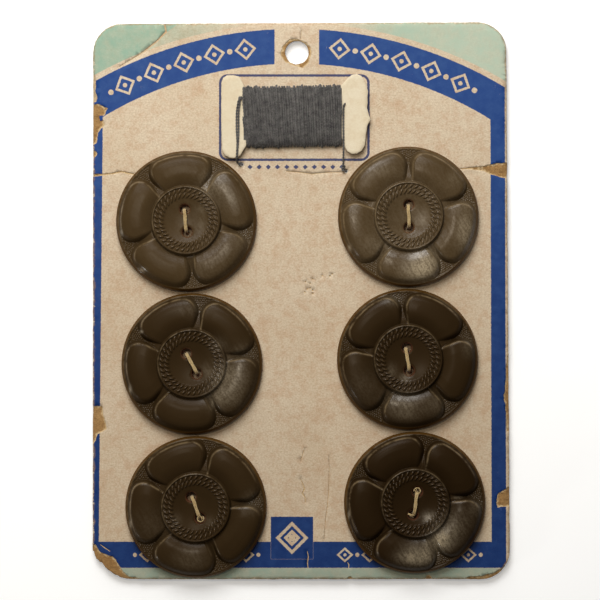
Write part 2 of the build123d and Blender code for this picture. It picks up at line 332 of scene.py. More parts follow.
class Wiring:
    """Places and links the nodes of one shader tree."""

    def __init__(self, tree: bpy.types.NodeTree) -> None:
        """Work on the given tree."""
        self.tree = tree

    def add(self, kind: str, **settings: Any) -> bpy.types.Node:
        """Place a node and set its properties."""
        node = self.tree.nodes.new(kind)
        for name, value in settings.items():
            setattr(node, name, value)
        return node

    def feed(self, socket: Socket, value: Any) -> None:
        """Link a socket to another, or set its own value."""
        if isinstance(value, bpy.types.NodeSocket):
            self.tree.links.new(value, socket)
        else:
            socket.default_value = value

    def math(self, operation: str, *values: Any) -> Socket:
        """Result of a math node."""
        node = self.add("ShaderNodeMath", operation=operation)
        for socket, value in zip(node.inputs, values):
            self.feed(socket, value)
        return node.outputs[0]

    def chain(self, operation: str, values: Sequence[Any]) -> Socket:
        """One operation carried through several values."""
        result = values[0]
        for value in values[1:]:
            result = self.math(operation, result, value)
        return result

    def total(self, *values: Any) -> Socket:
        """Sum of several values."""
        return self.chain("ADD", values)

    def product(self, *values: Any) -> Socket:
        """Product of several values."""
        return self.chain("MULTIPLY", values)

    def most(self, *values: Any) -> Socket:
        """Largest of several values."""
        return self.chain("MAXIMUM", values)

    def inverse(self, value: Any) -> Socket:
        """One less the value."""
        return self.math("SUBTRACT", 1.0, value)

    def span(self, first: Any, second: Any) -> Socket:
        """Length of the long side over two right-angled sides."""
        return self.math("SQRT", self.math("ADD", self.product(first, first), self.product(second, second)))

    def step(self, value: Any, low: float, high: float) -> Socket:
        """Smooth step from 0 at low to 1 at high; low may be the larger."""
        node = self.add("ShaderNodeMapRange", interpolation_type="SMOOTHSTEP")
        for name, given in (("Value", value), ("From Min", low), ("From Max", high)):
            self.feed(node.inputs[name], given)
        return node.outputs["Result"]

    def band(self, value: Any, low: float, high: float, soft: float) -> Socket:
        """1 between low and high, with soft ends."""
        return self.product(self.step(value, low - soft, low + soft),
                            self.step(value, high + soft, high - soft))

    def noise(self, place: Any, scale: float, detail: float = 4.0, rough: float = 0.55) -> Socket:
        """Cloudy value, from 0 to 1, around a half."""
        node = self.add("ShaderNodeTexNoise")
        for name, given in (("Vector", place), ("Scale", scale), ("Detail", detail), ("Roughness", rough)):
            self.feed(node.inputs[name], given)
        return node.outputs["Fac"]

    def swing(self, place: Any, scale: float, detail: float, rough: float, reach: float) -> Socket:
        """Cloudy value around zero.

        Args:
            place: Place on the piece.
            scale, detail, rough: Settings of the cloud.
            reach: Whole span of the value.

        Returns:
            The value.
        """
        return self.product(self.math("SUBTRACT", self.noise(place, scale, detail, rough), 0.5), reach)

    def mix(self, share: Any, first: Any, second: Any) -> Socket:
        """Blend of two colours."""
        node = self.add("ShaderNodeMix", data_type="RGBA")
        for socket, value in zip((node.inputs[0], node.inputs[6], node.inputs[7]), (share, first, second)):
            self.feed(socket, value)
        return node.outputs[2]

    def vector(self, operation: str, place: Any, by: Any) -> Socket:
        """Result of a vector math node."""
        node = self.add("ShaderNodeVectorMath", operation=operation)
        self.feed(node.inputs[0], place)
        self.feed(node.inputs[1], by)
        return node.outputs[0]

    def stretch(self, place: Any, scales: Spot) -> Socket:
        """Place with each of its axes scaled."""
        return self.vector("MULTIPLY", place, scales)

    def turned(self, place: Any, angle: float) -> Socket:
        """The place turned about the upright axis."""
        node = self.add("ShaderNodeVectorRotate", rotation_type="Z_AXIS")
        self.feed(node.inputs["Vector"], place)
        node.inputs["Angle"].default_value = angle
        return node.outputs[0]

    def parts(self, place: Any) -> list[Socket]:
        """The three numbers of a place."""
        node = self.add("ShaderNodeSeparateXYZ")
        self.feed(node.inputs[0], place)
        return list(node.outputs)

    def shift(self, place: Any, by: Any) -> Socket:
        """Place moved by a vector."""
        return self.vector("ADD", place, by)

    def own_place(self) -> Socket:
        """Place on the piece, in millimetres."""
        coordinates = self.add("ShaderNodeTexCoord")
        return self.stretch(coordinates.outputs["Object"], (1 / MM, 1 / MM, 1 / MM))

    def stored(self, name: str) -> Socket:
        """Value that the piece's points carry."""
        return self.add("ShaderNodeAttribute", attribute_name=name).outputs["Fac"]

    def bump(self, height: Any, distance: float) -> Socket:
        """Normal bent by a height in millimetres."""
        node = self.add("ShaderNodeBump")
        self.feed(node.inputs["Height"], height)
        self.feed(node.inputs["Distance"], distance * MM)
        self.feed(node.inputs["Strength"], 1.0)
        return node.outputs["Normal"]

    def place(self, group: bpy.types.NodeTree, **values: Any) -> dict[str, Socket]:
        """Place a node group and give its outputs by name."""
        node = self.add("ShaderNodeGroup", node_tree=group)
        for name, value in values.items():
            self.feed(node.inputs[name], value)
        return {socket.name: socket for socket in node.outputs}


class GroupDraft(Wiring):
    """A shader node group while it is being made."""

    def __init__(self, name: str, inputs: dict[str, str], outputs: Sequence[str]) -> None:
        """Make the group's sockets.

        Args:
            name: Name of the group.
            inputs: Names of its inputs with their socket types.
            outputs: Names of its values that come out.
        """
        tree = bpy.data.node_groups.new(name, "ShaderNodeTree")
        super().__init__(tree)
        for socket, kind in inputs.items():
            tree.interface.new_socket(socket, in_out="INPUT", socket_type=kind)
        for socket in outputs:
            tree.interface.new_socket(socket, in_out="OUTPUT", socket_type="NodeSocketFloat")
        self.given = self.add("NodeGroupInput").outputs
        self.result = self.add("NodeGroupOutput").inputs


class Groups:
    """The shader node groups that several finishes share."""

    def __init__(self) -> None:
        """Build every group once."""
        self.aged_paper = self._aged_paper()
        self.thread_fibre = self._thread_fibre()
        self.print_shapes = CardPrint().group()
        self.speckle = self._speckle()

    @staticmethod
    def _aged_paper() -> bpy.types.NodeTree:
        """Clouds, stains and pulp fibres of old paper and board."""
        draft = GroupDraft("aged_paper", {"Place": "NodeSocketVector", "Pulp": "NodeSocketFloat"},
                           ("Cloud", "Stain", "Fleck", "Grain", "Blush", "Height"))
        place = draft.given["Place"]
        cloud = draft.noise(place, 0.055, 5.0, 0.62)
        stain = draft.noise(draft.shift(place, (37.0, 11.0, 5.0)), 0.12, 6.0, 0.7)
        fibre = draft.noise(draft.stretch(place, (0.9, 2.3, 1.0)), 2.6, 5.0, 0.7)
        fleck = draft.noise(draft.stretch(place, (1.0, 1.6, 1.0)), 1.7, 2.0, 0.5)
        grain = draft.noise(draft.stretch(place, (1.0, 1.3, 1.0)), 2.3, 3.0, 0.65)
        blotch = draft.noise(draft.shift(place, (5.0, 71.0, 3.0)), 0.5, 5.0, 0.7)
        draft.feed(draft.result["Cloud"], draft.step(cloud, 0.3, 0.7))
        draft.feed(draft.result["Stain"], draft.step(stain, 0.53, 0.74))
        draft.feed(draft.result["Fleck"], draft.product(draft.step(fleck, 0.62, 0.74), draft.given["Pulp"]))
        draft.feed(draft.result["Grain"], draft.product(draft.step(grain, 0.34, 0.66), draft.given["Pulp"]))
        draft.feed(draft.result["Blush"], draft.step(blotch, 0.42, 0.68))
        draft.feed(draft.result["Height"], draft.product(fibre, draft.given["Pulp"]))
        return draft.tree

    @staticmethod
    def _thread_fibre() -> bpy.types.NodeTree:
        """Light and dark fibres of spun thread."""
        draft = GroupDraft("thread_fibre", {"Place": "NodeSocketVector"}, ("Tone", "Height"))
        place = draft.given["Place"]
        fine = draft.noise(place, 6.5, 3.0, 0.6)
        broad = draft.noise(place, 0.8, 3.0, 0.6)
        tone = draft.total(draft.product(fine, 0.65), draft.product(broad, 0.35))
        draft.feed(draft.result["Tone"], draft.step(tone, 0.36, 0.64))
        draft.feed(draft.result["Height"], fine)
        return draft.tree

    @staticmethod
    def _speckle() -> bpy.types.NodeTree:
        """Fine specks, for dust on the buttons and rubbed ink on the card."""
        draft = GroupDraft("speckle", {"Place": "NodeSocketVector", "Spread": "NodeSocketFloat"}, ("Mask",))
        place = draft.given["Place"]
        fine = draft.noise(place, 2.4, 4.0, 0.75)
        broad = draft.noise(place, 0.22, 3.0, 0.6)
        both = draft.total(draft.product(fine, 0.6), draft.product(broad, 0.4))
        lowered = draft.math("ADD", both, draft.given["Spread"])
        draft.feed(draft.result["Mask"], draft.step(lowered, 0.6, 0.72))
        return draft.tree


def nearest(draft: Wiring, along: Any, start: float, pitch: float) -> Socket:
    """Distance from the middle of the nearest of a row of motifs.

    Args:
        draft: Wiring of the group.
        along: Place along the row.
        start: Middle of one motif.
        pitch: Distance between motifs.

    Returns:
        The distance, below zero before the motif's middle.
    """
    moved = draft.math("SUBTRACT", along, start - pitch / 2)
    return draft.math("SUBTRACT", draft.math("FLOORED_MODULO", moved, pitch), pitch / 2)


def lozenge(draft: Wiring, along: Any, across: Any, half: Point, line: float, soft: float) -> Socket:
    """Outlined lozenge with a dot in the middle.

    Args:
        draft: Wiring of the group.
        along, across: Place from the lozenge's middle.
        half: Half its length and half its height.
        line: Width of its outline, as a share of the lozenge.
        soft: Softness of the dot's edge.

    Returns:
        The share of the motif at the place.
    """
    edge_soft, dot_share = 0.03, 0.2
    reach = draft.total(draft.math("DIVIDE", draft.math("ABSOLUTE", along), half[0]),
                        draft.math("DIVIDE", draft.math("ABSOLUTE", across), half[1]))
    edge = draft.band(reach, 1 - line, 1.0, edge_soft)
    dot = draft.step(draft.span(along, across), dot_share * half[1] + soft, dot_share * half[1] - soft)
    return draft.most(edge, dot)


@dataclass(frozen=True)
class MotifRow:
    """Row of lozenges with dots between them, left bare in a field of ink."""

    start: float
    pitch: float
    half: Point
    line: float
    dot: float
    runs: tuple[Point, Point]

    def bare(self, draft: Wiring, along: Any, across: Any, soft: float) -> Socket:
        """Share of bare paper in the row.

        Args:
            draft: Wiring of the group.
            along, across: Place along the row and from its middle line.
            soft: Softness of the ink's edges.

        Returns:
            The share at the place.
        """
        beside = nearest(draft, along, self.start, self.pitch)
        motif = lozenge(draft, beside, across, self.half, self.line, soft)
        between = nearest(draft, along, self.start + self.pitch / 2, self.pitch)
        dot = draft.step(draft.span(between, across), self.dot + soft, self.dot - soft)
        kept = draft.most(*[draft.band(along, low, high, soft) for low, high in self.runs])
        return draft.product(draft.most(motif, dot), kept)


@dataclass(frozen=True)
class CardPrint:
    """Fields of ink on the card's face, as sizes in the plane of the card."""

    arch_centre: Point = (-1.4, -30.7)
    arch_inner: float = 84.6
    arch_outer: float = 92.6
    arch_row: MotifRow = MotifRow(10.3, 7.2, (2.5, 2.5), 0.3, 0.62, ((-44.6, -8.6), (7.3, 43.6)))
    gap_left: float = -5.99
    gap_right: float = 4.17
    left_border: float = -45.45
    left_lean: float = 0.0065
    right_border: Point = (43.29, 46.59)
    strip: Point = (-60.88, -54.96)
    strip_corner: float = 1.2
    strip_row: MotifRow = MotifRow(10.0, 5.6, (1.9, 1.7), 0.34, 0.45, ((-38.3, -8.95), (7.95, 41.5)))
    frame_middle: Point = (-1.475, 41.55)
    frame_half: Point = (16.92, 9.65)
    frame_corner: float = 1.7
    frame_line: float = 0.56
    dots_start: float = -11.6
    dots_pitch: float = 2.1
    dots_height: float = 30.25
    dot_half: Point = (0.62, 0.55)
    dots_run: Point = (-12.4, 9.6)
    green_radius: float = 93.9
    green_fade: Point = (6.0, 25.0)
    crease_low: Point = (-41.4, 53.1)
    crease_rise: float = 0.75
    panel_middle: Point = (-2.0, -54.1)
    panel_half: float = 4.8
    panel_lozenges: tuple[Point, Point] = ((3.7, 0.26), (1.9, 0.5))
    soft: float = 0.07

    def group(self) -> bpy.types.NodeTree:
        """Node group that gives the share of blue and of green ink at a place."""
        draft = GroupDraft("card_print", {"Place": "NodeSocketVector"}, ("Blue", "Green", "Line"))
        x, y = draft.parts(draft.given["Place"])[:2]
        from_x = draft.math("SUBTRACT", x, self.arch_centre[0])
        from_y = draft.math("SUBTRACT", y, self.arch_centre[1])
        radius = draft.span(from_x, from_y)
        way = draft.product(draft.math("ARCTAN2", from_x, from_y), (self.arch_inner + self.arch_outer) / 2)
        inside = draft.step(radius, self.arch_outer - 2, self.arch_outer - 4)
        square, panel = self._panel(draft, x, y)
        strip = draft.product(self._strip(draft, x, y), draft.inverse(square))
        fields = draft.most(self._arch(draft, x, y, radius, way), self._borders(draft, x, y, inside),
                            strip, panel)
        lines = draft.most(self._frame(draft, x, y), self._row_of_dots(draft, x, y))
        draft.feed(draft.result["Blue"], fields)
        draft.feed(draft.result["Line"], lines)
        draft.feed(draft.result["Green"], self._green(draft, x, y, radius, from_x))
        return draft.tree

    def _arch(self, draft: Wiring, x: Any, y: Any, radius: Any, way: Any) -> Socket:
        """Two runs of the arched band, with a row of lozenges left bare in each."""
        runs = draft.most(draft.step(x, self.gap_left + self.soft, self.gap_left - self.soft),
                          draft.band(x, self.gap_right, self.right_border[1], self.soft))
        solid = draft.product(draft.band(radius, self.arch_inner, self.arch_outer, self.soft), runs,
                              draft.step(y, 0, 10))
        across = draft.math("SUBTRACT", radius, (self.arch_inner + self.arch_outer) / 2)
        return draft.product(solid, draft.inverse(self.arch_row.bare(draft, way, across, self.soft)))

    def _borders(self, draft: Wiring, x: Any, y: Any, inside: Any) -> Socket:
        """Upright borders at the two sides of the card."""
        lean = draft.math("SUBTRACT", x, draft.product(y, self.left_lean))
        left = draft.step(lean, self.left_border + self.soft, self.left_border - self.soft)
        right = draft.band(x, self.right_border[0], self.right_border[1], self.soft)
        high = draft.step(y, self.strip[0] + 2, self.strip[0] + 2.2)
        return draft.product(draft.most(left, right), inside, high)

    def _strip(self, draft: Wiring, x: Any, y: Any) -> Socket:
        """Strip along the foot of the card, with a row of lozenges left bare."""
        corner = draft.span(
            draft.math("MAXIMUM", draft.math("SUBTRACT", x, self.right_border[1] - self.strip_corner), 0.0),
            draft.math("MAXIMUM", draft.math("SUBTRACT", self.strip[0] + self.strip_corner, y), 0.0))
        solid = draft.product(draft.band(y, self.strip[0], self.strip[1], self.soft),
                              draft.step(corner, self.strip_corner + self.soft,
                                         self.strip_corner - self.soft))
        across = draft.math("SUBTRACT", y, (self.strip[0] + self.strip[1]) / 2)
        return draft.product(solid, draft.inverse(self.strip_row.bare(draft, x, across, self.soft)))

    def _panel(self, draft: Wiring, x: Any, y: Any) -> tuple[Socket, Socket]:
        """Small square panel at the foot, whole and with one large lozenge left bare."""
        along = draft.math("SUBTRACT", x, self.panel_middle[0])
        across = draft.math("SUBTRACT", y, self.panel_middle[1])
        far = draft.most(draft.math("ABSOLUTE", along), draft.math("ABSOLUTE", across))
        solid = draft.step(far, self.panel_half + self.soft, self.panel_half - self.soft)
        motifs = [lozenge(draft, along, across, (half, half), line, self.soft)
                  for half, line in self.panel_lozenges]
        return solid, draft.product(solid, draft.inverse(draft.most(*motifs)))

    def _frame(self, draft: Wiring, x: Any, y: Any) -> Socket:
        """Thin frame with round corners about the winder."""
        sides = []
        for value, middle, half in zip((x, y), self.frame_middle, self.frame_half):
            off = draft.math("ABSOLUTE", draft.math("SUBTRACT", value, middle))
            sides.append(draft.math("SUBTRACT", off, half - self.frame_corner))
        outer = draft.span(draft.math("MAXIMUM", sides[0], 0.0), draft.math("MAXIMUM", sides[1], 0.0))
        inner = draft.math("MINIMUM", draft.math("MAXIMUM", sides[0], sides[1]), 0.0)
        off_line = draft.math("ABSOLUTE",
                              draft.math("SUBTRACT", draft.total(outer, inner), self.frame_corner))
        return draft.step(off_line, self.frame_line / 2 + 0.05, self.frame_line / 2 - 0.05)

    def _row_of_dots(self, draft: Wiring, x: Any, y: Any) -> Socket:
        """Row of small lozenges under the frame."""
        along = draft.math("ABSOLUTE", nearest(draft, x, self.dots_start, self.dots_pitch))
        across = draft.math("ABSOLUTE", draft.math("SUBTRACT", y, self.dots_height))
        reach = draft.total(draft.math("DIVIDE", along, self.dot_half[0]),
                            draft.math("DIVIDE", across, self.dot_half[1]))
        return draft.product(draft.step(reach, 1.1, 0.9), draft.band(x, *self.dots_run, 0.05))

    def _green(self, draft: Wiring, x: Any, y: Any, radius: Any, from_x: Any) -> Socket:
        """Green corners above the arch and the green strip at the foot."""
        crease = draft.total(self.crease_low[1] - self.crease_rise * self.crease_low[0],
                             draft.product(x, self.crease_rise))
        over = draft.math("SUBTRACT", y, crease)
        right = draft.step(from_x, self.green_fade[0], self.green_fade[1])
        faded = draft.product(draft.step(from_x, -self.green_fade[0], -self.green_fade[1]), 0.5)
        left = draft.most(draft.product(draft.step(over, -0.3, 0.1), draft.step(x, 0.0, -10.0)), faded)
        above = draft.product(draft.step(radius, self.green_radius - 0.1, self.green_radius + 0.1),
                              draft.most(left, right), draft.step(y, 0, 10), draft.step(x, 47.1, 46.6))
        below = draft.product(draft.step(y, self.strip[0] + 0.02, self.strip[0] - 0.1),
                              draft.step(x, 46.4, 43.0))
        return draft.most(above, below)


# ---------------------------------------------------------------- finishes


@dataclass(frozen=True)
class Finish:
    """Base of every finish: a material with one Principled shader."""

    name: str
    roughness: float = 0.6
    specular: float = 0.2

    def make(self, groups: Groups) -> bpy.types.Material:
        """Make the material."""
        material = bpy.data.materials.new(self.name)
        material.use_nodes = True
        shader = material.node_tree.nodes["Principled BSDF"]
        shader.inputs["Roughness"].default_value = self.roughness
        shader.inputs["Specular IOR Level"].default_value = self.specular
        self.wire(Wiring(material.node_tree), shader, groups)
        return material

    def wire(self, wiring: Wiring, shader: bpy.types.Node, groups: Groups) -> None:
        """Link the finish's own nodes to the shader."""
        raise NotImplementedError


@dataclass(frozen=True)
class PaperFinish(Finish):
    """Bare old paper or board."""

    colour: Shade = (223, 207, 181)
    cloud_colour: Shade = (216, 198, 170)
    stain_colour: Shade = (190, 148, 112)
    fleck_colour: Shade = (150, 116, 78)
    stain_share: float = 0.3
    fleck_share: float = 0.35
    blush_share: float = 0.4
    grain_share: float = 0.32
    pulp: float = 1.0
    relief: float = 0.05

    def paper(self, wiring: Wiring, groups: Groups, place: Any) -> tuple[Socket, Socket]:
        """Colour and fine height of the paper itself.

        Args:
            wiring: The material's wiring.
            groups: The shared groups.
            place: Place on the piece.

        Returns:
            The colour and the height.
        """
        old = wiring.place(groups.aged_paper, Place=place, Pulp=self.pulp)
        colour = wiring.mix(old["Cloud"], paint(*self.colour), paint(*self.cloud_colour))
        for layer, share, shade in (("Stain", self.stain_share, self.stain_colour),
                                    ("Fleck", self.fleck_share, self.fleck_colour),
                                    ("Blush", self.blush_share, self.stain_colour),
                                    ("Grain", self.grain_share, self.fleck_colour)):
            colour = wiring.mix(wiring.product(old[layer], share), colour, paint(*shade))
        return colour, old["Height"]

    def wire(self, wiring: Wiring, shader: bpy.types.Node, groups: Groups) -> None:
        """Paper colour and relief straight to the shader."""
        colour, height = self.paper(wiring, groups, wiring.own_place())
        wiring.feed(shader.inputs["Base Color"], colour)
        wiring.feed(shader.inputs["Normal"], wiring.bump(height, self.relief))


@dataclass(frozen=True)
class PrintedFinish(PaperFinish):
    """The card's face: old paper with fields of blue and green ink."""

    specular: float = 0.25
    blue: Shade = (20, 62, 127)
    # Darker blue for the foot of the card, as painted shade.
    shaded_foot_blue: Shade = (2, 44, 102)
    faded_blue: Shade = (46, 82, 138)
    green: Shade = (138, 172, 150)
    pale_green: Shade = (174, 194, 173)
    foot_green: Shade = (146, 165, 148)
    line_blue: Shade = (30, 48, 98)
    edge_colour: Shade = (164, 128, 82)

    def wire(self, wiring: Wiring, shader: bpy.types.Node, groups: Groups) -> None:
        """Ink over paper, rubbed in places, with grime along the card's edges, and paper and blue painted
        darker towards the foot as painted shade.
        """
        place = wiring.own_place()
        colour, height = self.paper(wiring, groups, place)
        shiver = wiring.add("ShaderNodeTexNoise")
        wiring.feed(shiver.inputs["Vector"], place)
        wiring.feed(shiver.inputs["Scale"], 2.2)
        centred = wiring.shift(shiver.outputs["Color"], (-0.5, -0.5, -0.5))
        x, y = wiring.parts(place)[:2]
        # Painted shade: the paper is darkened towards the foot of the card.
        foot = wiring.step(y, 50.0, -40.0)
        colour = wiring.mix(wiring.product(foot, 0.15), colour, paint(*self.fleck_colour))
        inked = wiring.place(groups.print_shapes,
                             Place=wiring.shift(place, wiring.stretch(centred, (0.22, 0.22, 0.0))))
        rubbed = wiring.place(groups.speckle, Place=place, Spread=0.0)["Mask"]
        fade = wiring.noise(place, 0.4, 4.0, 0.65)
        # Painted shade: the blue darkens and fades less towards the foot.
        blue = wiring.mix(foot, paint(*self.blue), paint(*self.shaded_foot_blue))
        worn = wiring.product(wiring.step(fade, 0.35, 0.75), wiring.inverse(wiring.product(foot, 0.6)), 0.6)
        blue = wiring.mix(worn, blue, paint(*self.faded_blue))
        green = wiring.mix(wiring.step(x, -15.0, 40.0), paint(*self.green), paint(*self.pale_green))
        green = wiring.mix(wiring.step(y, 10.0, -10.0), green, paint(*self.foot_green))
        green = wiring.mix(wiring.product(wiring.step(fade, 0.3, 0.7), 0.28), green, colour)
        kept = wiring.inverse(wiring.product(rubbed, 0.13))
        colour = wiring.mix(wiring.product(inked["Green"], 0.92), colour, green)
        colour = wiring.mix(wiring.product(inked["Blue"], kept), colour, blue)
        colour = wiring.mix(wiring.product(inked["Line"], 0.92), colour, paint(*self.line_blue))
        colour = wiring.mix(self._edge_grime(wiring, place), colour, paint(*self.edge_colour))
        colour = wiring.mix(self._edge_chips(wiring, place), colour, paint(*self.cloud_colour))
        wiring.feed(shader.inputs["Base Color"], colour)
        wiring.feed(shader.inputs["Roughness"],
                    wiring.math("SUBTRACT", self.roughness, wiring.product(inked["Blue"], 0.12)))
        wiring.feed(shader.inputs["Normal"], wiring.bump(height, self.relief))

    def _edge_grime(self, wiring: Wiring, place: Any) -> Socket:
        """Share of brown where hands have rubbed the edges of the card."""
        uneven = wiring.swing(place, 0.5, 5.0, 0.7, 1.6)
        return wiring.product(wiring.step(wiring.total(wiring.stored("edge"), uneven), 0.55, 0.0), 0.6)

    def _edge_chips(self, wiring: Wiring, place: Any) -> Socket:
        """Share of bare paper in the small chips along the edges."""
        uneven = wiring.swing(place, 0.9, 4.0, 0.75, 3.0)
        return wiring.product(wiring.step(wiring.total(wiring.stored("edge"), uneven), 0.1, -0.1), 0.85)


@dataclass(frozen=True)
class TornFinish(PaperFinish):
    """Brown core of the board, with a pale lip where the face paper has torn."""

    lip_colour: Shade = (218, 192, 148)
    layer_colour: Shade = (104, 74, 42)

    def wire(self, wiring: Wiring, shader: bpy.types.Node, groups: Groups) -> None:
        """Layers of pulp, darker inside, and the torn lip."""
        place = wiring.own_place()
        colour, height = self.paper(wiring, groups, place)
        layers = wiring.noise(wiring.stretch(place, (1.0, 1.8, 1.0)), 0.75, 5.0, 0.7)
        inside = wiring.product(wiring.step(layers, 0.5, 0.66), 0.55)
        colour = wiring.mix(inside, colour, paint(*self.layer_colour))
        uneven = wiring.swing(place, 1.1, 4.0, 0.7, 1.8)
        lip = wiring.step(wiring.total(wiring.stored("tear"), uneven), 0.45, 0.05)
        colour = wiring.mix(wiring.product(lip, 0.8), colour, paint(*self.lip_colour))
        wiring.feed(shader.inputs["Base Color"], colour)
        wiring.feed(shader.inputs["Normal"], wiring.bump(wiring.total(height, layers), self.relief))


@dataclass(frozen=True)
class PlasticFinish(Finish):
    """Dark brown moulded plastic of the buttons, satin with age."""

    roughness: float = 0.44
    specular: float = 0.06
    body: Shade = (36, 24, 10)
    # Colours of painted light: reflection haze, highlight on rope and pimple tops, highlight on upper-left
    # edges, sheens.
    reflection_tint: Shade = (90, 71, 44)
    worn: Shade = (108, 84, 50)
    edge: Shade = (148, 126, 92)
    sheen_colour: Shade = (166, 150, 122)
    rim: Shade = (80, 53, 16)
    dust: Shade = (76, 60, 36)
    # Reddish bore colour, painted lighter deep inside as painted light.
    hole: Shade = (152, 96, 72)
    tint: Shade = (255, 212, 156)
    coat_roughness: float = 0.25

    def wire(self, wiring: Wiring, shader: bpy.types.Node, groups: Groups) -> None:
        """Body colour with a thin amber rim and dusty hollows, plus painted light: reflection haze, sheens,
        glints, highlights on ridge tops and upper-left edges, and lighter deep bores.
        """
        geometry_node = wiring.add("ShaderNodeNewGeometry")
        place = wiring.stretch(geometry_node.outputs["Position"], (1 / MM, 1 / MM, 1 / MM))
        cloud = wiring.noise(place, 0.14, 4.0, 0.6)
        fine = wiring.noise(place, 2.4, 4.0, 0.7)
        dusty = wiring.place(groups.speckle, Place=place, Spread=0.06)["Mask"]
        streak = wiring.noise(wiring.stretch(wiring.turned(place, -0.5), (1.0, 0.22, 1.0)), 1.9, 4.0, 0.7)
        grain = wiring.step(wiring.total(wiring.product(streak, 0.5), wiring.product(fine, 0.5)), 0.38, 0.62)
        # Painted sheen and glint marks, grained.
        sheen_paint_and_gloss = wiring.product(wiring.stored("sheen_paint_and_gloss"), wiring.total(0.3, wiring.product(grain, 0.7)))
        # Painted reflection: a greyish haze over the body colour, strongest on the top buttons.
        reflection_haze = wiring.product(wiring.stored("reflection_haze"), wiring.total(0.7, wiring.product(cloud, 0.6)))
        colour = wiring.mix(reflection_haze, paint(*self.body), paint(*self.reflection_tint))
        # Painted sheen: lightens the colour towards a pale grey-brown.
        colour = wiring.mix(wiring.product(sheen_paint_and_gloss, 0.3), colour, paint(*self.sheen_colour))
        colour = wiring.mix(wiring.stored("rim"), colour, paint(*self.rim))
        # Painted highlight, with some wear: rope and pimple tops are lightened.
        colour = wiring.mix(wiring.product(wiring.stored("ridge_wear_and_highlight"), 0.3), colour, paint(*self.worn))
        # Painted highlight: edges that face the upper left are lightened.
        patchy = wiring.step(wiring.noise(place, 0.45, 4.0, 0.7), 0.3, 0.62)
        edge = wiring.product(wiring.stored("edge"), patchy)
        colour = wiring.mix(wiring.product(edge, 0.48), colour, paint(*self.edge))
        dust = wiring.product(wiring.stored("hollow"), wiring.total(0.15, wiring.product(dusty, 0.3)))
        colour = wiring.mix(dust, colour, paint(*self.dust))
        # Painted light: bore walls tinted reddish and lighter the deeper they go.
        colour = wiring.mix(wiring.stored("bore_tint_and_light"), colour, paint(*self.hole))
        wiring.feed(shader.inputs["Base Color"], colour)
        rough = wiring.total(self.roughness - 0.12, wiring.product(cloud, 0.14), wiring.product(fine, 0.1),
                             wiring.product(wiring.stored("hollow"), 0.15))
        wiring.feed(shader.inputs["Roughness"], rough)
        wiring.feed(shader.inputs["Normal"], wiring.bump(fine, 0.012))
        shader.inputs["Specular Tint"].default_value = paint(*self.tint)
        shine = wiring.total(0.06, wiring.product(wiring.stored("ridge_wear_and_highlight"), 0.6), wiring.product(edge, 0.7),
                             sheen_paint_and_gloss)
        wiring.feed(shader.inputs["Coat Weight"], wiring.math("MINIMUM", shine, 1.0))
        shader.inputs["Coat Roughness"].default_value = self.coat_roughness


@dataclass(frozen=True)
class ThreadFinish(Finish):
    """Spun sewing thread."""

    roughness: float = 0.75
    dark: Shade = (44, 42, 41)
    light: Shade = (122, 118, 114)
    sheen: float = 0.25
    fuzz: float = 0.06

    def wire(self, wiring: Wiring, shader: bpy.types.Node, groups: Groups) -> None:
        """Two tones of fibre with a soft sheen."""
        fibre = wiring.place(groups.thread_fibre, Place=wiring.own_place())
        colour = wiring.mix(fibre["Tone"], paint(*self.dark), paint(*self.light))
        wiring.feed(shader.inputs["Base Color"], colour)
        wiring.feed(shader.inputs["Normal"], wiring.bump(fibre["Height"], self.fuzz))
        shader.inputs["Sheen Weight"].default_value = self.sheen


class Finishes:
    """Every material of the object, made once."""

    def __init__(self) -> None:
        """Make the groups and then the materials."""
        groups = Groups()
        self.printed = PrintedFinish("printed_face", 0.72).make(groups)
        self.core = TornFinish(
            "torn_core", 0.9, colour=(190, 152, 100), cloud_colour=(168, 128, 78), stain_colour=(136, 98, 56),
            fleck_colour=(104, 76, 46), stain_share=0.5, relief=0.16, grain_share=0.35).make(groups)
        self.bare = PaperFinish(
            "bare_paper", 0.85, colour=(214, 194, 158), cloud_colour=(200, 174, 134)).make(groups)
        self.back = PaperFinish(
            "board_back", 0.85, colour=(168, 150, 120), cloud_colour=(152, 133, 104),
            stain_colour=(128, 104, 76), fleck_colour=(110, 92, 68), stain_share=0.4,
            relief=0.06).make(groups)
        self.winder = PaperFinish(
            "winder_card", 0.7, colour=(228, 216, 190), cloud_colour=(221, 207, 178),
            stain_colour=(208, 186, 150), fleck_colour=(200, 178, 140), stain_share=0.25, pulp=0.7,
            relief=0.04, grain_share=0.3).make(groups)
        self.plastic = PlasticFinish("button_plastic").make(groups)
        self.tan = ThreadFinish("tan_thread", 0.7, dark=(158, 130, 84), light=(200, 176, 126)).make(groups)
        self.grey = ThreadFinish("grey_thread").make(groups)


# ---------------------------------------------------------------- backing card


class PatchKind(Enum):
    """What has happened to a patch of the card's face."""

    LOST = "board gone"
    TORN = "face paper torn off"
    SCUFFED = "ink rubbed off"
    FLECK = "scrap of face paper left in a tear"


@dataclass(frozen=True)
class Patch:
    """One damaged patch of the card, by its outline."""

    kind: PatchKind
    outline: Outline
    wander: float = 0.09
    step: float = 0.3


